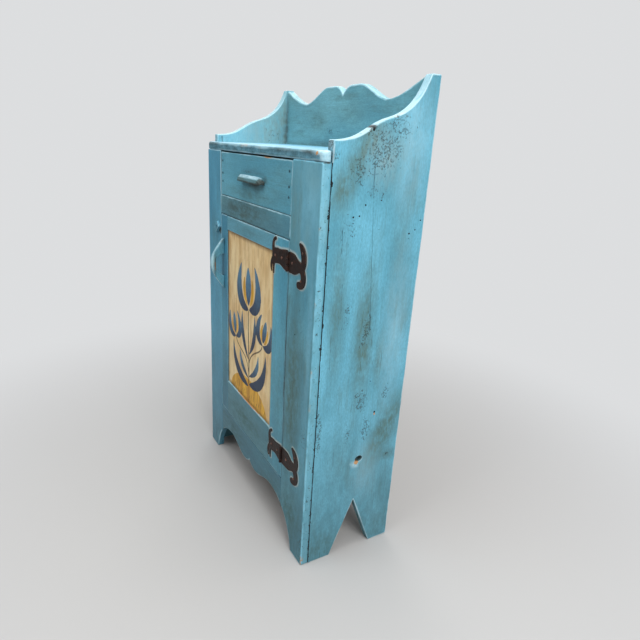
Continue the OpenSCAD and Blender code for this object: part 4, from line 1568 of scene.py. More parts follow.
@dataclass(frozen=True)
class Sides(Part):
    """The two side boards, cut to a notch below and a sweep above."""

    joint: Pair = (-97.0, 1019.0)
    shake: tuple[Pair, ...] = ((8, 1020), (11, 960), (17, 880), (24, 790), (30, 710), (35.5, 647))

    def right(self) -> None:
        """Makes the right side, with the marks that the photograph shows."""
        cut = Cut(
            plane=Plane.SIDE, arris=1.9, ragged=0.5, seed=1.3, mesh=11,
            crackle=(
                (28, 1046, 86, 96, 1.35, 20), (66, 1092, 60, 56, 1.3), (-30, 1004, 46, 60, 1.2),
                (20, 960, 50, 40, 0.9), (30, 452, 30, 50, 1.6), (24, 640, 26, 80, 1.3),
                (-30, 690, 20, 60, 1.2), (50, 372, 18, 56, 1.5), (-4, 372, 16, 44, 1.4),
                (104, 468, 24, 26, 1.5), (128, 276, 20, 12, 1.3), (-90, 390, 14, 110, 1.8),
                (-40, 886, 36, 50, 0.9), (60, 1092, 56, 20, 1.7), (-88, 1032, 20, 26, 1.3),
            ),
            wash=(
                (-66, 968, 46, 74, 1.2, -20), (-34, 1020, 44, 70, 1.2, -35),
                (-12, 1062, 52, 84, 1.35, -25), (40, 1030, 80, 96, 0.75),
                (20, 620, 40, 230, 1.25), (-60, 700, 32, 240, 0.9), (70, 560, 22, 110, 0.9),
                (112, 350, 54, 160, 1.45, -25), (-20, 300, 50, 120, 0.4),
                (100, 860, 40, 150, 0.5), (128, 274, 42, 26, 0.9), (-60, 40, 80, 60, 0.8),
                (120, 40, 50, 70, 0.6),
            ),
            pale=(
                (28, 272, 14, 10, 1.4, -30), (62, 250, 60, 120, 0.2), (104, 1060, 70, 190, 0.3),
                (34, 1030, 70, 80, 0.35), (110, 640, 50, 260, 0.3),
            ),
            bare=((32, 278, 12, 8, 2, -30), (75, 411, 4, 5, 1.2)),
            dirt=((-96, 1030, 7, 24, 0.9),),
            pit=((-2.5, 1089.5, 7, 6.5, 2.4),),
            pits=(
                (75, 416, 3.3, 5), (-7, 934, 2.2, 3), (-21, 911, 2.2, 3),
                (-36.5, 909, 2.4, 3), (-36, 896, 1.6, 2.2), (121, 867, 2.5, 3),
                (137, 875, 1.9, 2.6), (150, 896, 2.2, 2.6), (34, 943, 1.8, 2.4),
                (121, 856, 1.2, 1.6), (128, 276, 2, 1.6), (52, 507, 1.7, 2.2),
                (-39, 870, 1.2, 1.6), (108, 490, 1.2, 1.6), (34, 880, 1.2, 1.5),
                (-2.2, 1083.9, 2.5, 3.2),
            ),
            cracks=(
                Crack(self.shake, 1.3, 2),
                Crack(((-62, 880), (-59, 835)), 1.2, 1.6),
                Crack(((-52, 762), (-50, 700)), 0.8, 1),
                Crack(((-72, 610), (-70, 560)), 0.7, 1),
            ),
            chips=((-4, 1097, 3.4, 4.5), (-97, 1058, 9, 2), (-97, 350, 7, 1.4)),
            edges=(
                Edge(-105, -5, -90, 1025, 0.5, dirt=0.9),
                # the knot hole's wall: painted shade in the hole, with dirt
                Edge(20, 268, 58, 306, 0.8, dirt=1),
                Edge(-60, -5, 130, 250, 0.8, wash=0.8),
                # the gallery's top edge: a painted highlight
                Edge(-100, 1045, 140, 1210, pale=0.75),
                Edge(-8, 1086, 4, 1105, pit=1),
                Edge(-105, 1020, -90, 1062, crackle=1.3, dirt=0.25),
            ),
        )
        self.shop.painted(
            "side_right", cut, light=(120, 196, 223), deep=(96, 166, 189), pale=(186, 219, 230),
            wash=0.42, seed=1, crackle=0.06, hairs=0.7, seam=self.joint,
        )

    def left(self) -> None:
        """Makes the left side, which the photograph hides, with marks of the same kinds."""
        behind = Marks(
            pale=((0, 1080, 260, 240, 0.35),),
            wash=((-90, 1060, 150, 200, 1.3), (-124, 1090, 34, 150, 1.6)),
            dirt=((-136, 1080, 9, 130, 0.9),),
            crackle=((-90, 1070, 50, 60, 0.8),),
        )
        cut = Cut(
            plane=Plane.LEFT, arris=1.9, ragged=0.5, seed=4.1,
            crackle=((-60, 980, 46, 70, 1), (20, 540, 26, 60, 1), (-90, 320, 30, 30, 0.9)),
            wash=(
                (-50, 1000, 66, 90, 0.9), (30, 560, 36, 190, 0.7), (-90, 330, 48, 90, 0.7),
                (0, 60, 120, 60, 0.6),
            ),
            behind=behind,
            chips=((-60, 1120, 4, 2.5), (97, 500, 8, 1.4)),
            cracks=(Crack(((81, 1026), (82, 1056)), 2.8, 2.2, behind=True),),
            edges=(
                Edge(90, -5, 105, 1025, 0.5, dirt=0.9),
                # the gallery's top edge: a painted highlight
                Edge(-140, 1045, 100, 1210, pale=0.7),
            ),
        )
        self.shop.painted("side_left", cut, wash=0.45, seed=2, seam=self.joint)

    def build(self) -> None:
        """Makes both boards."""
        self.right()
        self.left()


@dataclass(frozen=True)
class FaceFrame(Part):
    """The stiles, the drawer rail and the scalloped apron."""

    joint: Pair = (-97.0, 1020.0)

    def stile_right(self) -> None:
        """The right stile: wear and painted highlights round the irons and along its outer edge."""
        cut = Cut(
            arris=2.4, back=0.4, ragged=0.45, seed=2.2, mesh=12,
            # pale: painted highlights on the outer edge and the upper face, over worn paint
            pale=((320, 640, 15, 400, 0.5), (338, 900, 7, 150, 0.7), (300, 940, 110, 230, 0.65)),
            wash=(
                (252, 480, 60, 330, 1.35), (300, 985, 70, 60, 0.8), (232, 900, 34, 150, 1),
                (290, 870, 22, 70, 0.7), (260, 120, 80, 110, 1),
            ),
            crackle=((318, 370, 20, 60, 1.1), (326, 60, 18, 90, 1)),
            # the thin dark line at 212 is painted shade in the door's gap
            dirt=((216, 400, 10, 260, 0.5), (262, 480, 70, 260, 0.3), (212, 515, 2.6, 325, 1.3)),
            bare=((337, 18, 7, 40, 0.62), (334, 360, 8, 40, 0.45)),
            halo=self.shop.outlines("upper_hinge_frame_leaf", "lower_hinge_frame_leaf"),
            fine=((212, 205, 330, 335, 3.2), (212, 728, 330, 858, 3.2)),
            edges=(
                # the outer edge: worn paint and a painted highlight
                Edge(330, -5, 345, 1025, pale=0.4, crackle=0.5),
                Edge(330, 700, 345, 1008, pale=0.65),
                Edge(300, 1017, 345, 1025, 1.2, dirt=1),
                # edges by the door and drawer gaps: painted shade
                Edge(205, 185, 222, 1025, 0.6, dirt=1),
                Edge(205, 185, 222, 845, kept=0.9),
                *joints(0.25, (205, -5, 222, 195)),
            ),
            pits=((254.5, 625, 2.2, 3), (284, 640, 1.1, 1.4), (272, 690, 1.1, 1.4)),
            cracks=(Crack(((334, 2), (333.5, 70), (334, 128)), 0.9, 1.4),),
            chips=((339, 350, 8, 1.6), (339, 8, 6, 2), (339, 950, 6, 1.2)),
        )
        self.shop.painted(
            "stile_right", cut, light=(108, 184, 208), deep=(82, 152, 175), pale=(138, 203, 226),
            wash=0.6, seed=3, seam=self.joint,
        )

    def build(self) -> None:
        """Makes the four boards."""
        self.stile_right()
        left = Cut(
            arris=2, seed=5.2,
            edges=(
                # edges by the door and drawer gaps: painted shade
                Edge(-240, 195, -225, 1025, 0.7, dirt=1),
                Edge(-240, 195, -225, 845, kept=0.7),
                *joints(0.25, (-240, -5, -225, 195)),
            ),
            wash=((-286, 760, 60, 120, 0.5), (-290, 60, 70, 80, 0.5)),
            # the turn button's painted shadow on the stile
            dirt=((-238, 788, 14, 14, 1.8),),
        )
        self.shop.painted(
            "stile_left", left, light=(104, 181, 211), deep=(86, 159, 190), wash=0.25, seed=4,
            seam=self.joint,
        )
        rail = Cut(
            arris=2, seed=6.1,
            edges=(
                # lower edge: a painted shadow line under the rail; upper edge: painted shade in the
                # drawer's gap
                Edge(-260, 835, 240, 850, 0.8, dirt=1, kept=1),
                Edge(-260, 851, 240, 900, 0.8, dirt=1),
            ),
            wash=((-60, 868, 260, 60, 1.2),), dirt=((-150, 868, 60, 24, 0.4),),
        )
        self.shop.painted(
            "drawer_rail", rail, grain=Grain.ALONG_X, light=(110, 172, 190), deep=(86, 144, 164),
            glaze=(82, 106, 106), wash=0.75, seed=5, reach=2.4,
        )
        apron = Cut(
            arris=1.8, seed=7.3,
            edges=(
                # the edge under the door's gap: painted shade
                Edge(-260, 182, 240, 195, 0.5, dirt=1, kept=0.8),
                *joints(0.25, (-240, 90, -225, 195), (205, 90, 222, 195)),
            ),
            wash=((-120, 150, 110, 50, 0.8), (150, 120, 90, 50, 0.8)),
        )
        self.shop.painted(
            "apron", apron, grain=Grain.ALONG_X, light=(88, 155, 177), deep=(70, 130, 154),
            wash=0.45, seed=6,
        )


class TopAndGallery(Part):
    """The top board with its lip, and the scalloped board behind it."""

    def build(self) -> None:
        """Makes the two boards."""
        top = Cut(
            plane=Plane.FLAT, arris=6, back=0.45, ragged=0.6, seed=8.4, mesh=16,
            carry=(-112.0, -119.0),
            edges=(
                # the lip's front darkened as painted shade; its right end a painted highlight
                Edge(-345, -106, 345, 140, 0.4),
                Edge(-345, -125, 325, -112, wash=0.9, kept=0.5),
                Edge(325, -125, 345, -90, pale=0.9),
            ),
            # a pale top face: painted light from above; a painted highlight on the lip's right end
            pale=((0, -30, 420, 80, 0.5), (330, -112, 40, 22, 1.4)),
            bare=((312, -119, 8, 5, 1.3),),
            dirt=(
                (0, 134, 330, 10, 0.7), (-300, -119, 60, 7, 1), (170, -119, 70, 6, 0.8),
                (280, -119, 36, 7, 0.9),
            ),
            chips=((310, -119, 5, 2.2), (-336, -119, 6, 1.6)),
        )
        self.shop.painted(
            "top_board", top, grain=Grain.ALONG_X, light=(138, 200, 225), deep=(114, 180, 207),
            glaze=(66, 106, 118), pale=(186, 222, 234), wash=0.1, seed=7, reach=1.8, through=0.7,
        )
        back = Cut(
            arris=3.2, ragged=0.8, seed=9.2, step=5, mesh=12,
            # the top edge: a painted highlight
            edges=(Edge(-320, 1045, 320, 1210, pale=0.6),),
            wash=(
                (-120, 1110, 90, 50, 0.8), (40, 1130, 100, 40, 0.7), (200, 1080, 100, 40, 0.6),
            ),
            dirt=((0, 1046, 330, 14, 0.8), (-312, 1100, 12, 110, 0.9)),
            crackle=((-60, 1080, 80, 26, 0.8), (120, 1070, 90, 20, 0.7)),
        )
        self.shop.painted(
            "gallery_back", back, grain=Grain.ALONG_X, light=(126, 186, 198), deep=(100, 158, 172),
            wash=0.6, seed=8, reach=3.0,
        )


@dataclass(frozen=True)
class Inside(Part):
    """The back planks, shelves and runners, of unpainted wood."""

    first_plank: float = -238.0
    plank_pitch: float = 158.4
    planks: int = 4
    shelves: tuple[str, ...] = ("bottom_shelf", "middle_shelf", "divider_board")
    runners: tuple[str, ...] = (
        "shelf_cleat_left", "shelf_cleat_right", "drawer_guide_left", "drawer_guide_right",
    )

    def split(self, i: int) -> Crack:
        """The drying split of one plank, seen from inside the cupboard."""
        x, z = self.first_plank + self.plank_pitch * i, 300 + 60 * i
        return Crack(((x + 20, z), (x + 24, z + 80), (x + 22, z + 170)), 0.9, 1.2)

    def build(self) -> None:
        """Makes the boards that the open cupboard and the back show."""
        for i in range(self.planks):
            name = f"plank_{i + 1}"
            light = (164 - 5 * i, 136 - 4 * i, 102)
            cut = Cut(arris=1.4, seed=20 + i, step=9, mesh=20, cracks=(self.split(i),))
            self.shop.board(f"back_{name}", cut, BareWood(
                f"old_wood_{name}", grain=Grain.ALONG_Z, light=light, dark=(118, 92, 66),
                seed=20 + 3 * i,
            ))
        for i, node in enumerate(self.shelves):
            cut = Cut(plane=Plane.FLAT, arris=1.5, seed=30 + i, step=9, mesh=20)
            self.shop.board(node, cut, BareWood(f"old_wood_{node}", seed=30 + i))
        for i, node in enumerate(self.runners):
            cut = Cut(plane=Plane.SIDE, arris=1.2, seed=40 + i, step=8, mesh=14)
            self.shop.board(node, cut, BareWood("old_wood_runners", grain=Grain.ALONG_Y, seed=40))
        self.shop.copied("back_nails", BACK_NAIL)


class FlowerSpray:
    """A painted spray of tulips and leaves, as signed distances on the panel's plane.

    A stroke is a chain of round dabs along a cubic curve: the distance to it is the distance to
    the nearest stretch less the brush's half width there, which swells and thins as a sine power.
    """

    DABS = 26
    BLADES = 13

    def __init__(self, uv: Array, middle: float, foot: float) -> None:
        """Keeps the points and the place where the spray stands.

        Args:
            uv: the panel's points, in millimetres.
            middle: the place of the main stem across the panel.
            foot: the height of its foot.
        """
        self.q = uv - np.array([middle, foot])
        self.petal, self.ochre, self.line = np.full((3, len(uv)), FAR)
        self.tone = np.zeros(len(uv))

    def stroke(
        self, ends: Sequence[Pair], width: float, power: float, lean: float = 0.5
    ) -> tuple[Array, Array]:
        """Signed distance to one stroke and the place along it.

        Args:
            ends: the four points of the cubic curve.
            width: the brush's widest half width.
            power: how sharply the stroke thins to its ends.
            lean: where along it the stroke is widest.

        Returns:
            The distances and the places from 0 to 1.
        """
        p = [np.array(e, float) for e in ends]
        t = np.linspace(0, 1, self.DABS)
        s = t[:, None]
        r = 1 - s
        line = r**3 * p[0] + 3 * s * r**2 * p[1] + 3 * s**2 * r * p[2] + s**3 * p[3]
        warp = t ** (math.log(0.5) / math.log(lean))
        half = width * np.sin(np.pi * warp) ** power + 0.2
        best = np.full(len(self.q), 1e9)
        where = np.zeros(len(self.q))
        for i in range(len(t) - 1):
            d = line[i + 1] - line[i]
            share = np.clip(((self.q - line[i]) @ d) / max(float(d @ d), 1e-9), 0, 1)
            away = np.hypot(*(self.q - line[i] - share[:, None] * d).T)
            away -= half[i] + share * (half[i + 1] - half[i])
            closer = away < best
            best = np.where(closer, away, best)
            where = np.where(closer, (i + share) / (len(t) - 1), where)
        return best, where

    def leaf(self, ends: Sequence[Pair], width: float, light: float, lean: float = 0.5) -> None:
        """A blue leaf, lighter towards its tip, with a fine dark outline.

        Args:
            ends: the four points of its curve.
            width: its widest half width.
            light: how light its blue is at the foot.
            lean: where along it the leaf is widest.
        """
        away, where = self.stroke(ends, width, 0.8, lean)
        self.tone = np.where(away < self.petal, light + 0.6 * where, self.tone)
        self.petal = np.minimum(self.petal, away)
        self.line = np.minimum(self.line, np.abs(away + 0.3) - 0.35)

    def stem(self, ends: Sequence[Pair], width: float) -> None:
        """A brown stem."""
        self.line = np.minimum(self.line, self.stroke(ends, width, 0.15)[0])

    def dab(self, ends: Sequence[Pair], width: float) -> None:
        """An ochre stroke."""
        self.ochre = np.minimum(self.ochre, self.stroke(ends, width, 0.6)[0])

    def tulip(self, at: Pair, turn: float, size: float, light: float) -> None:
        """A flower of three petals with ochre between them.

        Args:
            at: the top of its stem.
            turn: its lean to the left, in degrees.
            size: its height.
            light: how light its blue is.
        """
        c, s = math.cos(math.radians(turn)), math.sin(math.radians(turn))

        def put(*points: Pair) -> list[Pair]:
            """Points of the flower turned and moved to its place."""
            return [
                (at[0] + size * (c * x - s * y), at[1] + size * (s * x + c * y)) for x, y in points
            ]

        for k in (-1, 1):
            inner = put((0.07 * k, 0.1), (0.26 * k, 0.3), (0.24 * k, 0.5), (0.2 * k, 0.74))
            outer = put((0.02 * k, 0), (0.64 * k, 0), (0.6 * k, 0.6), (0.36 * k, 1.04))
            self.dab(inner, 0.07 * size)
            self.leaf(outer, 0.16 * size, light, 0.42)
        middle = put((0, 0.1), (-0.03, 0.36), (0.03, 0.66), (0, 0.98))
        self.leaf(middle, 0.15 * size, light + 0.15)

    def ground(self, middle: Pair, reach: Pair) -> None:
        """An ochre mound, the inside of an ellipse, with brown blades of grass on it.

        Args:
            middle: the middle of the ellipse.
            reach: its half width and half height.
        """
        away = np.hypot(*((self.q - np.array(middle)) / np.array(reach)).T) - 1
        self.ochre = np.minimum(self.ochre, away * min(reach))
        for i, x in enumerate(np.linspace(-0.8, 0.8, self.BLADES) * reach[0]):
            k = i % 3
            y = middle[1] + reach[1] * (0.3 + 0.12 * k)
            self.stem([(x, y - 20), (x + 2, y - 12), (x + 4, y - 2), (x + 9 - 6 * k, y + 8)], 0.9)

    def paint(self) -> None:
        """Draws the whole spray: the ground, then stems, flowers and leaves."""
        self.ground((-4, -34), (134, 84))
        self.stem([(0, 30), (10, 110), (-12, 190), (-4, 268)], 2.8)
        self.stem([(2, 96), (14, 160), (84, 150), (92, 196)], 2)
        self.stem([(0, 70), (-10, 140), (-82, 110), (-98, 158)], 2)
        self.tulip((-4, 266), 4, 124, 0.2)
        self.tulip((92, 192), -14, 80, 0.1)
        self.tulip((-98, 154), 14, 76, 0.25)
        self.leaf([(4, 34), (70, 44), (112, 84), (112, 168)], 16, -0.15, 0.42)
        self.leaf([(-2, 26), (-72, 34), (-112, 64), (-116, 134)], 15, -0.1, 0.42)
        self.leaf([(2, 130), (36, 170), (44, 210), (36, 258)], 10, 0)
        self.leaf([(-2, 112), (-40, 150), (-56, 196), (-50, 250)], 10.5, 0.05)
        self.leaf([(4, 60), (44, 80), (66, 104), (64, 150)], 9.5, 0.25)
        self.leaf([(0, 52), (-38, 66), (-62, 86), (-66, 124)], 9.5, 0.25)


@dataclass(frozen=True)
class Door(Part):
    """The framed door with its painted panel and its bow handle."""

    panel_open: tuple[float, float, float, float] = (-180.2, 306.0, 132.2, 799.2)
    panel_pitch: float = 1.9

    def halo(self) -> Loops:
        """The outlines of the irons on the door."""
        return self.shop.outlines("upper_hinge_door_leaf", "lower_hinge_door_leaf")

    def panel(self) -> None:
        """The panel: a slab whose front is a fine grid, cut in along the painted outlines.

        The front is y0 + 0.25 ripple + 0.45 exp(-(d / 1.6)^2) on a grid over x and z, with d the
        distance to an outline. Its rim turns over a small bevel to a plain back.
        """
        lo, hi = (np.array(v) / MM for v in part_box("door_panel"))
        nx, nz = (round((hi[i] - lo[i]) / self.panel_pitch) + 1 for i in (0, 2))
        x, z = np.meshgrid(np.linspace(lo[0], hi[0], nx), np.linspace(lo[2], hi[2], nz))
        uv = np.stack([x.ravel(), z.ravel()], 1)
        x0, z0, x1, z1 = self.panel_open
        spray = FlowerSpray(uv, (x0 + x1) / 2 + 2, z0 + 26)
        spray.paint()
        edge = np.minimum.reduce([uv[:, 0] - x0, x1 - uv[:, 0], uv[:, 1] - z0, z1 - uv[:, 1]])
        outline = np.minimum(np.abs(spray.petal), np.abs(spray.ochre) + 0.6)
        depth = 0.25 * ripple(*uv.T, 3.0) + 0.45 * np.exp(-((outline / 1.6) ** 2))
        number = np.arange(nx * nz).reshape(nz, nx)
        ring = np.concatenate([number[0], number[1:, -1], number[-1, -2::-1], number[-2:0:-1, 0]])
        depth[ring] = 0.5
        front = np.column_stack([uv[:, 0], lo[1] + depth, uv[:, 1]])
        a = number[:-1, :-1].ravel()
        faces = np.stack([a, a + 1, a + nx + 1, a + nx], 1).tolist()
        back = front[ring]
        back[:, 1] = hi[1]
        rim = np.arange(len(ring)) + nx * nz
        faces += np.stack([ring, rim, np.roll(rim, -1), np.roll(ring, -1)], 1).tolist()
        faces.append(rim[::-1].tolist())
        marks = {key: getattr(spray, key) for key in ("petal", "ochre", "line", "tone")}
        marks["rim"] = edge
        marks = {key: np.concatenate([value, value[ring]]) for key, value in marks.items()}
        finish = PaintedPanel()
        surface = Surface(np.concatenate([front, back]), faces, marks)
        obj = surface.object("door_panel.painted", finish.material())
        self.shop.place(obj, finish.slot, "door_panel")

    def stiles(self) -> None:
        """Makes the two uprights."""
        left = Cut(
            arris=1.8, seed=10.2,
            edges=(
                # edges by the gaps: painted shade
                Edge(-240, 185, -222, 850, 0.8, dirt=1, kept=0.6),
                Edge(-188, 300, -172, 805, 0.8, dirt=1, kept=0.6),
                *joints(0.2, (-188, 806, -172, 850), (-188, 180, -172, 299)),
            ),
            pale=((-228, 790, 5, 60, 0.6),),
            # a painted shadow beside the handle's upper end
            dirt=((-208, 760, 20, 20, 0.5),),
            wash=((-205, 330, 40, 180, 0.6),),
        )
        self.shop.painted(
            "door_stile_left", left, light=(87, 160, 187), deep=(70, 138, 168), wash=0.3, seed=11
        )
        right = Cut(
            arris=1.7, seed=11.4, halo=self.halo(),
            fine=((118, 205, 210, 322, 3.2), (118, 735, 210, 842, 3.2)),
            edges=(
                # edges by the gaps: painted shade
                Edge(203, 185, 217, 850, 0.7, dirt=1, kept=0.6),
                Edge(124, 300, 140, 805, 0.8, dirt=1, kept=0.6),
                *joints(0.2, (124, 806, 140, 850), (124, 180, 140, 299)),
            ),
            wash=((180, 420, 40, 200, 0.6),),
            # the thin dark line at 210 is painted shade in the gap by the frame
            dirt=((208, 520, 7, 330, 0.6), (210, 515, 2.6, 325, 1.3)),
        )
        self.shop.painted(
            "door_stile_right", right, light=(104, 185, 210), deep=(85, 162, 189), wash=0.3,
            seed=12,
        )

    def rails(self) -> None:
        """Makes the two crosspieces."""
        top = Cut(
            arris=1.9, seed=12.3, halo=self.halo(),
            edges=(
                # edges by the gaps: painted shade
                Edge(-250, 832, 250, 850, 0.9, dirt=1),
                Edge(-250, 792, 250, 807, 0.6, dirt=1, kept=0.6),
                *joints(0.2, (-188, 806, -172, 832), (124, 806, 140, 832)),
            ),
            # pale: a painted highlight on the door's top arris
            wash=((-40, 820, 200, 30, 0.6),), pale=((-20, 840, 210, 5, 0.9),),
        )
        self.shop.painted(
            "door_rail_top", top, grain=Grain.ALONG_X, light=(111, 180, 204), deep=(91, 157, 181),
            wash=0.4, seed=13,
        )
        bottom = Cut(
            arris=1.9, seed=13.3, halo=self.halo(),
            edges=(
                # the edge by the gap below: painted shade
                Edge(-250, 185, 250, 198, 0.6, dirt=1, kept=0.6),
                *joints(0.2, (-188, 198, -172, 300), (124, 198, 140, 300)),
            ),
            wash=((-40, 240, 190, 60, 0.95),), bare=((-20, 306, 170, 3, 0.9),),
        )
        self.shop.painted(
            "door_rail_bottom", bottom, grain=Grain.ALONG_X, light=(98, 160, 179),
            deep=(79, 138, 157), wash=0.55, seed=14,
        )

    def build(self) -> None:
        """Makes the frame, panel and handle."""
        self.stiles()
        self.rails()
        self.panel()
        handle = Cut(
            plane=Plane.SIDE, arris=4.2, corner=1.6, ragged=0.4, step=2.2, mesh=5, seed=15,
            edges=(
                Edge(-165, 600, -115, 780, kept=1),
                Edge(-165, 600, -124, 780, pale=1),
                Edge(-149, 650, -118, 728, dirt=1),
            ),
            bare=((-149, 690, 4, 34, 0.75), (-122, 770, 8, 8, 0.6)),
            dirt=((-149, 690, 7, 46, 1.1), (-124, 764, 12, 14, 1), (-121, 622, 5, 20, 0.9)),
            pale=((-158, 695, 10, 80, 1.6), (-142, 748, 9, 26, 0.6, -40)),
        )
        self.shop.painted(
            "door_handle", handle, light=(100, 164, 186), deep=(80, 140, 163), wash=0.2, seed=16,
            reach=1.6, through=0.9,
        )
        self.shop.copied("handle_screws", STEEL)


@dataclass(frozen=True)
class Hinge(Part):
    """One pair of irons: two leaves, a pin and the knuckles they turn on."""

    name: str
    height: float
    pivot: Pair = (211.1, -123.1)
    knuckle: float = 3.8
    bore: float = 2.05
    row: float = 46.0
    middle: float = 17.0
    gap: float = 0.3
    ease: float = 0.7
    around: int = 28

    def barrel(self, low: float, high: float) -> Surface:
        """A knuckle: its wall's rounded section carried round the pin, closed on itself.

        Args:
            low: the height of its lower end.
            high: the height of its upper end.

        Returns:
            The closed ring.
        """
        r0, r1, e = self.bore, self.knuckle, self.ease
        r, z = np.array([
            (r0, high - e), (r0 + 0.3, high), (r1 - e, high), (r1 - 0.2, high - 0.2),
            (r1, high - e), (r1 - 0.15, (low + high) / 2), (r1, low + e), (r1 - 0.2, low + 0.2),
            (r1 - e, low), (r0 + 0.3, low), (r0, low + e),
        ]).T[..., None]
        turn = np.linspace(0, math.tau, self.around, endpoint=False)
        x, y = self.pivot[0] + r * np.cos(turn), self.pivot[1] + r * np.sin(turn)
        points = np.stack([x, y, np.broadcast_to(z, x.shape)], -1).reshape(-1, 3)
        faces = band(len(r) + 1, self.around) % len(points)
        return Surface(points, faces.tolist(), {"arris": np.full(len(points), 2.0)})

    def leaf(self, node: str, spans: Sequence[Pair]) -> None:
        """A leaf: the forged plate from the node's outline, and its knuckles.

        Args:
            node: the CAD node.
            spans: the lower and upper end of each of its knuckles, from the hinge's middle.
        """
        plate = Board(self.shop.solid(node), Cut(
            arris=0.95, ragged=0.25, step=1.8, mesh=3.4, wave=0.35, level=IRON_BACK,
            seed=self.height,
        ))
        plate.low, plate.high = IRON_BACK, IRON_BACK + IRON_T
        plate.shape_edges()
        surface = plate.surface()
        for low, high in spans:
            surface = surface.joined(self.barrel(self.height + low, self.height + high))
        self.shop.place(surface.object(f"{node}.forged", IRON.material()), IRON.slot, node)

    def build(self) -> None:
        """Makes both leaves and the pin."""
        half, cut = self.row / 2, self.middle / 2 + self.gap
        self.leaf(f"{self.name}_hinge_frame_leaf", ((-half, -cut), (cut, half)))
        self.leaf(f"{self.name}_hinge_door_leaf", ((-self.middle / 2, self.middle / 2),))
        self.shop.copied(f"{self.name}_hinge_pin", IRON)


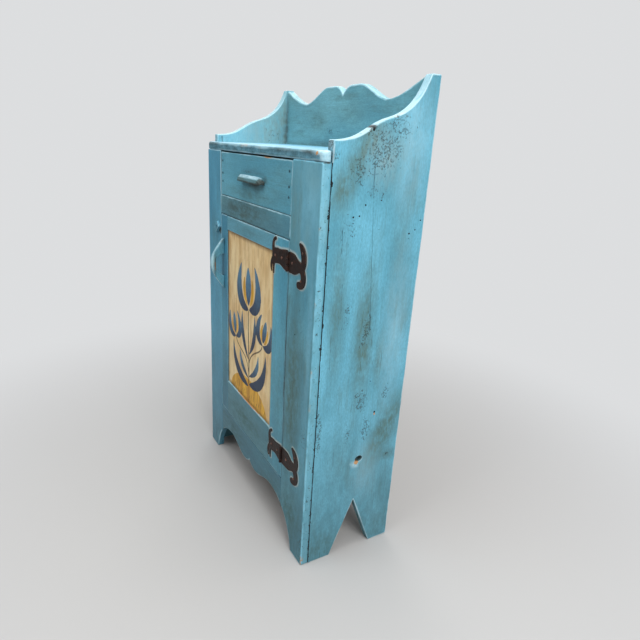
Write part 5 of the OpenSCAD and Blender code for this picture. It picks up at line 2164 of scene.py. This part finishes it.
@dataclass(frozen=True)
class Drawer(Part):
    """The drawer: a painted front and bar pull on a plain wooden box."""

    pull_middle: Pair = (-2.0, 957.5)
    pull_half: Pair = (70.0, 8.5)
    pull_out: float = 16.0
    face_y: float = -117.5
    bevel: float = 6.5
    worn: Pair = (20.0, 6.0)
    slope: float = 8.0
    ease: float = 2.2
    end: float = 2.0
    lip: float = 3.5

    def pull_section(self) -> Array:
        """A square bar with a bevel above, a hollow below and eased corners.

        Returns:
            Its outline.
        """
        h, out, b = self.pull_half[1], self.pull_out, self.bevel
        raw = np.array([
            (0, h), (b - out, h), (-out, h - b), (-out, -h), (-out * 0.75, -h),
            (-out * 0.5, 3 - h), (-out * 0.2, 2 - h), (0, -h),
        ])
        return resampled(raw[::-1], 1.6, self.ease)[0]

    def pull_points(self) -> Array:
        """The section carried along x, trimmed by the slopes of its ends.

        Above the lip its heights are scaled to the slope's height there, and near both ends the
        section shrinks as a quarter circle to a flat end.

        Returns:
            The points as an array (ring, point, xyz).
        """
        l, h = self.pull_half
        section, full, lip = self.pull_section(), 2 * h, self.lip
        close = self.end * (1 - np.cos(np.linspace(0, 1.5, 5)))
        long = np.linspace(-l + 2.4, l - 2.4, 46)
        x = np.concatenate([-l + close, long, l - close[::-1]])
        ends = np.minimum(x + l, l - x)
        bow = np.maximum(self.end - ends, 0)
        shrink = self.end - np.sqrt(np.maximum(self.end**2 - bow**2, 0))
        worn = self.worn[1] + (l - x) / self.worn[0] * (full - self.worn[1])
        high = np.minimum.reduce([np.full(len(x), full), full - (self.slope - l - x), worn])
        high = high - 0.35 * ripple(x * 6, x * 0, 2.0)
        y, z = section.T[:, None]
        z = z + h
        z = np.where(z > lip, lip + (z - lip) * ((high - lip) / (full - lip))[:, None], z)
        mid = (-self.pull_out / 2, 6.0)
        k = (1 - shrink / 8)[:, None]
        y = np.minimum(mid[0] + (y - mid[0]) * k, 0)
        z = mid[1] + (z - mid[1]) * k
        x = np.broadcast_to((self.pull_middle[0] + x)[:, None], z.shape)
        return np.stack([x, self.face_y + y, self.pull_middle[1] - h + z], -1)

    def pull(self) -> None:
        """The bar pull, fan-closed at both ends, worn on the right, with painted light and shade."""
        rings = self.pull_points()
        rows, count = rings.shape[:2]
        points = np.concatenate([rings.reshape(-1, 3), rings[[0, -1]].mean(1)])
        i = np.arange(count)
        j = (i + 1) % count
        last, hub = (rows - 1) * count, np.full(count, rows * count)
        faces = band(rows, count).tolist()
        faces += np.stack([hub, i, j], 1).tolist()
        faces += np.stack([hub + 1, last + j, last + i], 1).tolist()
        x, z = points[:, 0] - self.pull_middle[0], points[:, 2] - self.pull_middle[1]
        l = self.pull_half[0]
        # top: a painted highlight on the upper faces; under: painted shade below; worn: the worn
        # right end
        worn, top, under = smooth(x, l - 24, l - 4), smooth(z, 1, 6), 1 - smooth(z, -6.5, -3.5)
        marks = {
            "arris": np.full(len(points), 6.0),
            "bare": 0.4 * worn,
            "dirt": np.maximum(worn, 1.1 * under),
            "pale": (0.05 + 0.65 * top) * (1 - worn) * (1 - under),
            "wash": 0.8 * (1 - top),
            "crackle": 1.2 * worn,
        }
        finish = AgedPaint(
            "paint_drawer_pull", grain=Grain.ALONG_X, light=(102, 164, 184), deep=(80, 140, 162),
            pale=(196, 226, 236), wash=0.25, seed=18, crackle=0.3,
        )
        obj = Surface(points, faces, marks).object("drawer_pull.worn", finish.material())
        reworked(obj.data, lambda s: bmesh.ops.recalc_face_normals(s, faces=s.faces))
        self.shop.place(obj, finish.slot, "drawer_pull")

    def build(self) -> None:
        """Makes the front, box and pull."""
        front = Cut(
            arris=1.9, ragged=0.5, seed=16.2, mesh=11,
            edges=(
                # edges in the gaps round the drawer: painted shade
                Edge(-240, 890, 220, 1025, 0.8, dirt=1),
                Edge(-222, 890, 202, 903, kept=1),
            ),
            bare=((82, 1016, 40, 3.4, 1),),
            # below and right of the pull: its painted shadow; the band above it: dirt
            dirt=(
                (-6, 972, 86, 14, 0.55), (70, 958, 14, 16, 0.9), (-2, 946, 70, 6, 1),
                (20, 934, 26, 14, 0.5),
            ),
            crackle=((-40, 976, 34, 12, 1.3), (62, 970, 22, 14, 1.4)),
            wash=((-2, 945, 110, 40, 0.7), (-20, 916, 240, 26, 0.8), (150, 980, 60, 40, 0.4)),
            pits=((197, 958.5, 1, 0.6),),
        )
        self.shop.painted(
            "drawer_front", front, grain=Grain.ALONG_X, light=(111, 185, 208),
            deep=(92, 164, 188), wash=0.3, seed=17,
        )
        side = BareWood("drawer_side_wood", grain=Grain.ALONG_Y, seed=50)
        for node, plane, seed, finish in (
            ("drawer_side_left", Plane.SIDE, 50, side),
            ("drawer_side_right", Plane.SIDE, 51, side),
            ("drawer_back", Plane.FRONT, 52, BareWood("drawer_back_wood", seed=52)),
        ):
            self.shop.board(node, Cut(plane=plane, arris=1.2, seed=seed, step=8, mesh=16), finish)
        cut = Cut(plane=Plane.FLAT, arris=0.8, seed=53, step=9, mesh=20)
        self.shop.board("drawer_bottom", cut, BareWood("drawer_bottom_wood", seed=53))
        self.pull()
        self.shop.copied("pull_screws", STEEL)
        self.shop.copied("drawer_nails", DRAWER_NAIL)


class TurnButton(Part):
    """The wooden button that holds the door, and its screw."""

    def build(self) -> None:
        """Makes the button and finishes its screw."""
        cut = Cut(arris=2.2, corner=1.6, ragged=0.4, step=1.8, mesh=4, seed=17)
        self.shop.painted(
            "turn_button", cut, light=(112, 180, 204), deep=(92, 156, 182), wash=0.3, seed=19,
            reach=2.8,
        )
        self.shop.copied("button_screw", PAINTED_SCREW)


# The studio


@dataclass(frozen=True)
class Softbox:
    """A square lamp with a soft edge to its shadows."""

    name: str
    place: Place
    aim: Place
    width: float
    power: float
    colour: Place = (1.0, 0.985, 0.965)

    def build(self) -> None:
        """Hangs the lamp."""
        data = bpy.data.lights.new(self.name, "AREA")
        data.shape, data.size = "SQUARE", self.width
        data.energy, data.color = self.power, self.colour
        lamp = added(self.name, data)
        lamp.location = self.place
        ahead = Vector(self.aim) - Vector(self.place)
        lamp.rotation_euler = ahead.to_track_quat("-Z", "Y").to_euler()


@dataclass(frozen=True)
class Studio:
    """The plain pale floor, the lamps and the camera of the photograph."""

    backdrop: tuple[float, ...] = (0.72, 0.73, 0.74, 1.0)
    floor: tuple[float, ...] = (0.50, 0.50, 0.50, 1.0)
    air: tuple[float, ...] = (0.96, 0.98, 1.0, 1.0)
    ambient: float = 0.27
    camera_at: Place = (1.2386136, -0.6680504, 1.0645750)
    camera_turn: Place = (1.6801, 1.0390, -0.6810)
    focal_px: float = 511.75
    frame_px: float = 640.0
    centre_shift_px: float = -26.33
    lamps: tuple[Softbox, ...] = (
        Softbox("key_right", (2.4, -0.25, 2.3), (0, 0, 0.85), 1.5, 58),
        Softbox("overhead", (0.2, 0.1, 3.0), (0, 0, 0.9), 2.0, 46),
        Softbox("front_high", (0.2, -1.5, 2.5), (0, 0, 1.05), 1.3, 20),
        Softbox("fill_left", (-2.3, 0.9, 1.9), (0, 0, 0.7), 1.8, 18),
    )

    def world(self) -> None:
        """An even light, and the pale backdrop for what the camera sees."""
        world = bpy.data.worlds.new("studio")
        bpy.context.scene.world = world
        w = Wiring.emptied(world)
        seen = w.node("LightPath").outputs["Is Camera Ray"]
        light = w.node("Background", {"Color": self.air, "Strength": self.ambient})
        view = w.node("Background", {"Color": self.backdrop, "Strength": 1.0})
        both = w.node("MixShader", {0: seen, 1: light.outputs[0], 2: view.outputs[0]})
        w.node("OutputWorld", {"Surface": both.outputs[0]})

    def stage(self) -> None:
        """The floor, a disc of rings that fades into the backdrop far out."""
        turn = np.linspace(0, math.tau, 64, endpoint=False)
        radius = np.array([16.0, 8.0, 3.0, 0.5])[:, None]
        x, y = radius * np.cos(turn), radius * np.sin(turn)
        rings = np.stack([x, y, np.full(x.shape, -0.0005)], -1).reshape(-1, 3)
        faces = band(4, 64)[:, ::-1].tolist() + [list(range(3 * 64, 4 * 64))]
        material = bpy.data.materials.new("pale_floor")
        w = Wiring.emptied(material)
        paint = {"Base Color": self.floor, "Roughness": 0.9, "Specular IOR Level": 0.1}
        shader = w.node("BsdfPrincipled", paint)
        away = w.node("VectorMath", {0: w.place()}, operation="LENGTH").outputs["Value"]
        seen = w.node("LightPath").outputs["Is Camera Ray"]
        fade = w.times(w.ramp(away, 0.4, 1.7), seen)
        glow = w.node("Emission", {"Color": self.backdrop, "Strength": 1.0})
        both = w.node("MixShader", {0: fade, 1: shader.outputs[0], 2: glow.outputs[0]})
        w.node("OutputMaterial", {"Surface": both.outputs[0]})
        Surface(rings / MM, faces).object("studio_floor", material)

    def camera(self) -> None:
        """The camera, from the pose worked out on the photograph.

        The turn is the axis times the angle of the rotation from the row frame to a camera whose
        axes point right, down and ahead. Blender's camera looks back along its third axis.
        """
        axis = Vector(self.camera_turn)
        to_camera = Matrix.Rotation(axis.length, 3, axis.normalized())
        flip = Matrix(((1, 0, 0), (0, -1, 0), (0, 0, -1)))
        data = bpy.data.cameras.new("photo_camera")
        data.sensor_fit = "HORIZONTAL"
        data.sensor_width = 36.0
        data.lens = self.focal_px / self.frame_px * data.sensor_width
        data.shift_x = -self.centre_shift_px / self.frame_px
        data.clip_end = 60
        camera = added("photo_camera", data)
        turn = (flip @ to_camera).transposed().to_4x4()
        camera.matrix_world = Matrix.Translation(self.camera_at) @ turn
        bpy.context.scene.camera = camera

    def build(self) -> None:
        """Sets up everything round the cupboard."""
        self.world()
        self.stage()
        for lamp in self.lamps:
            lamp.build()
        self.camera()
        bpy.context.scene.view_settings.view_transform = "Standard"


def main() -> None:
    logging.basicConfig(level=logging.INFO, format="%(name)s: %(message)s")
    shop = Workshop()
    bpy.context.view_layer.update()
    for part in (
        Sides(shop),
        FaceFrame(shop),
        TopAndGallery(shop),
        Inside(shop),
        Door(shop),
        Hinge(shop, "upper", 791.2),
        Hinge(shop, "lower", 266.0),
        Drawer(shop),
        TurnButton(shop),
    ):
        part.build()
        log.info("%s built", type(part).__name__)
    shop.copied("frame_leaf_nails", NAIL_IRON)
    shop.copied("door_leaf_nails", NAIL_IRON)
    Studio().build()
    log.info("%d pieces", shop.pieces)


if __name__ == "__main__":
    main()
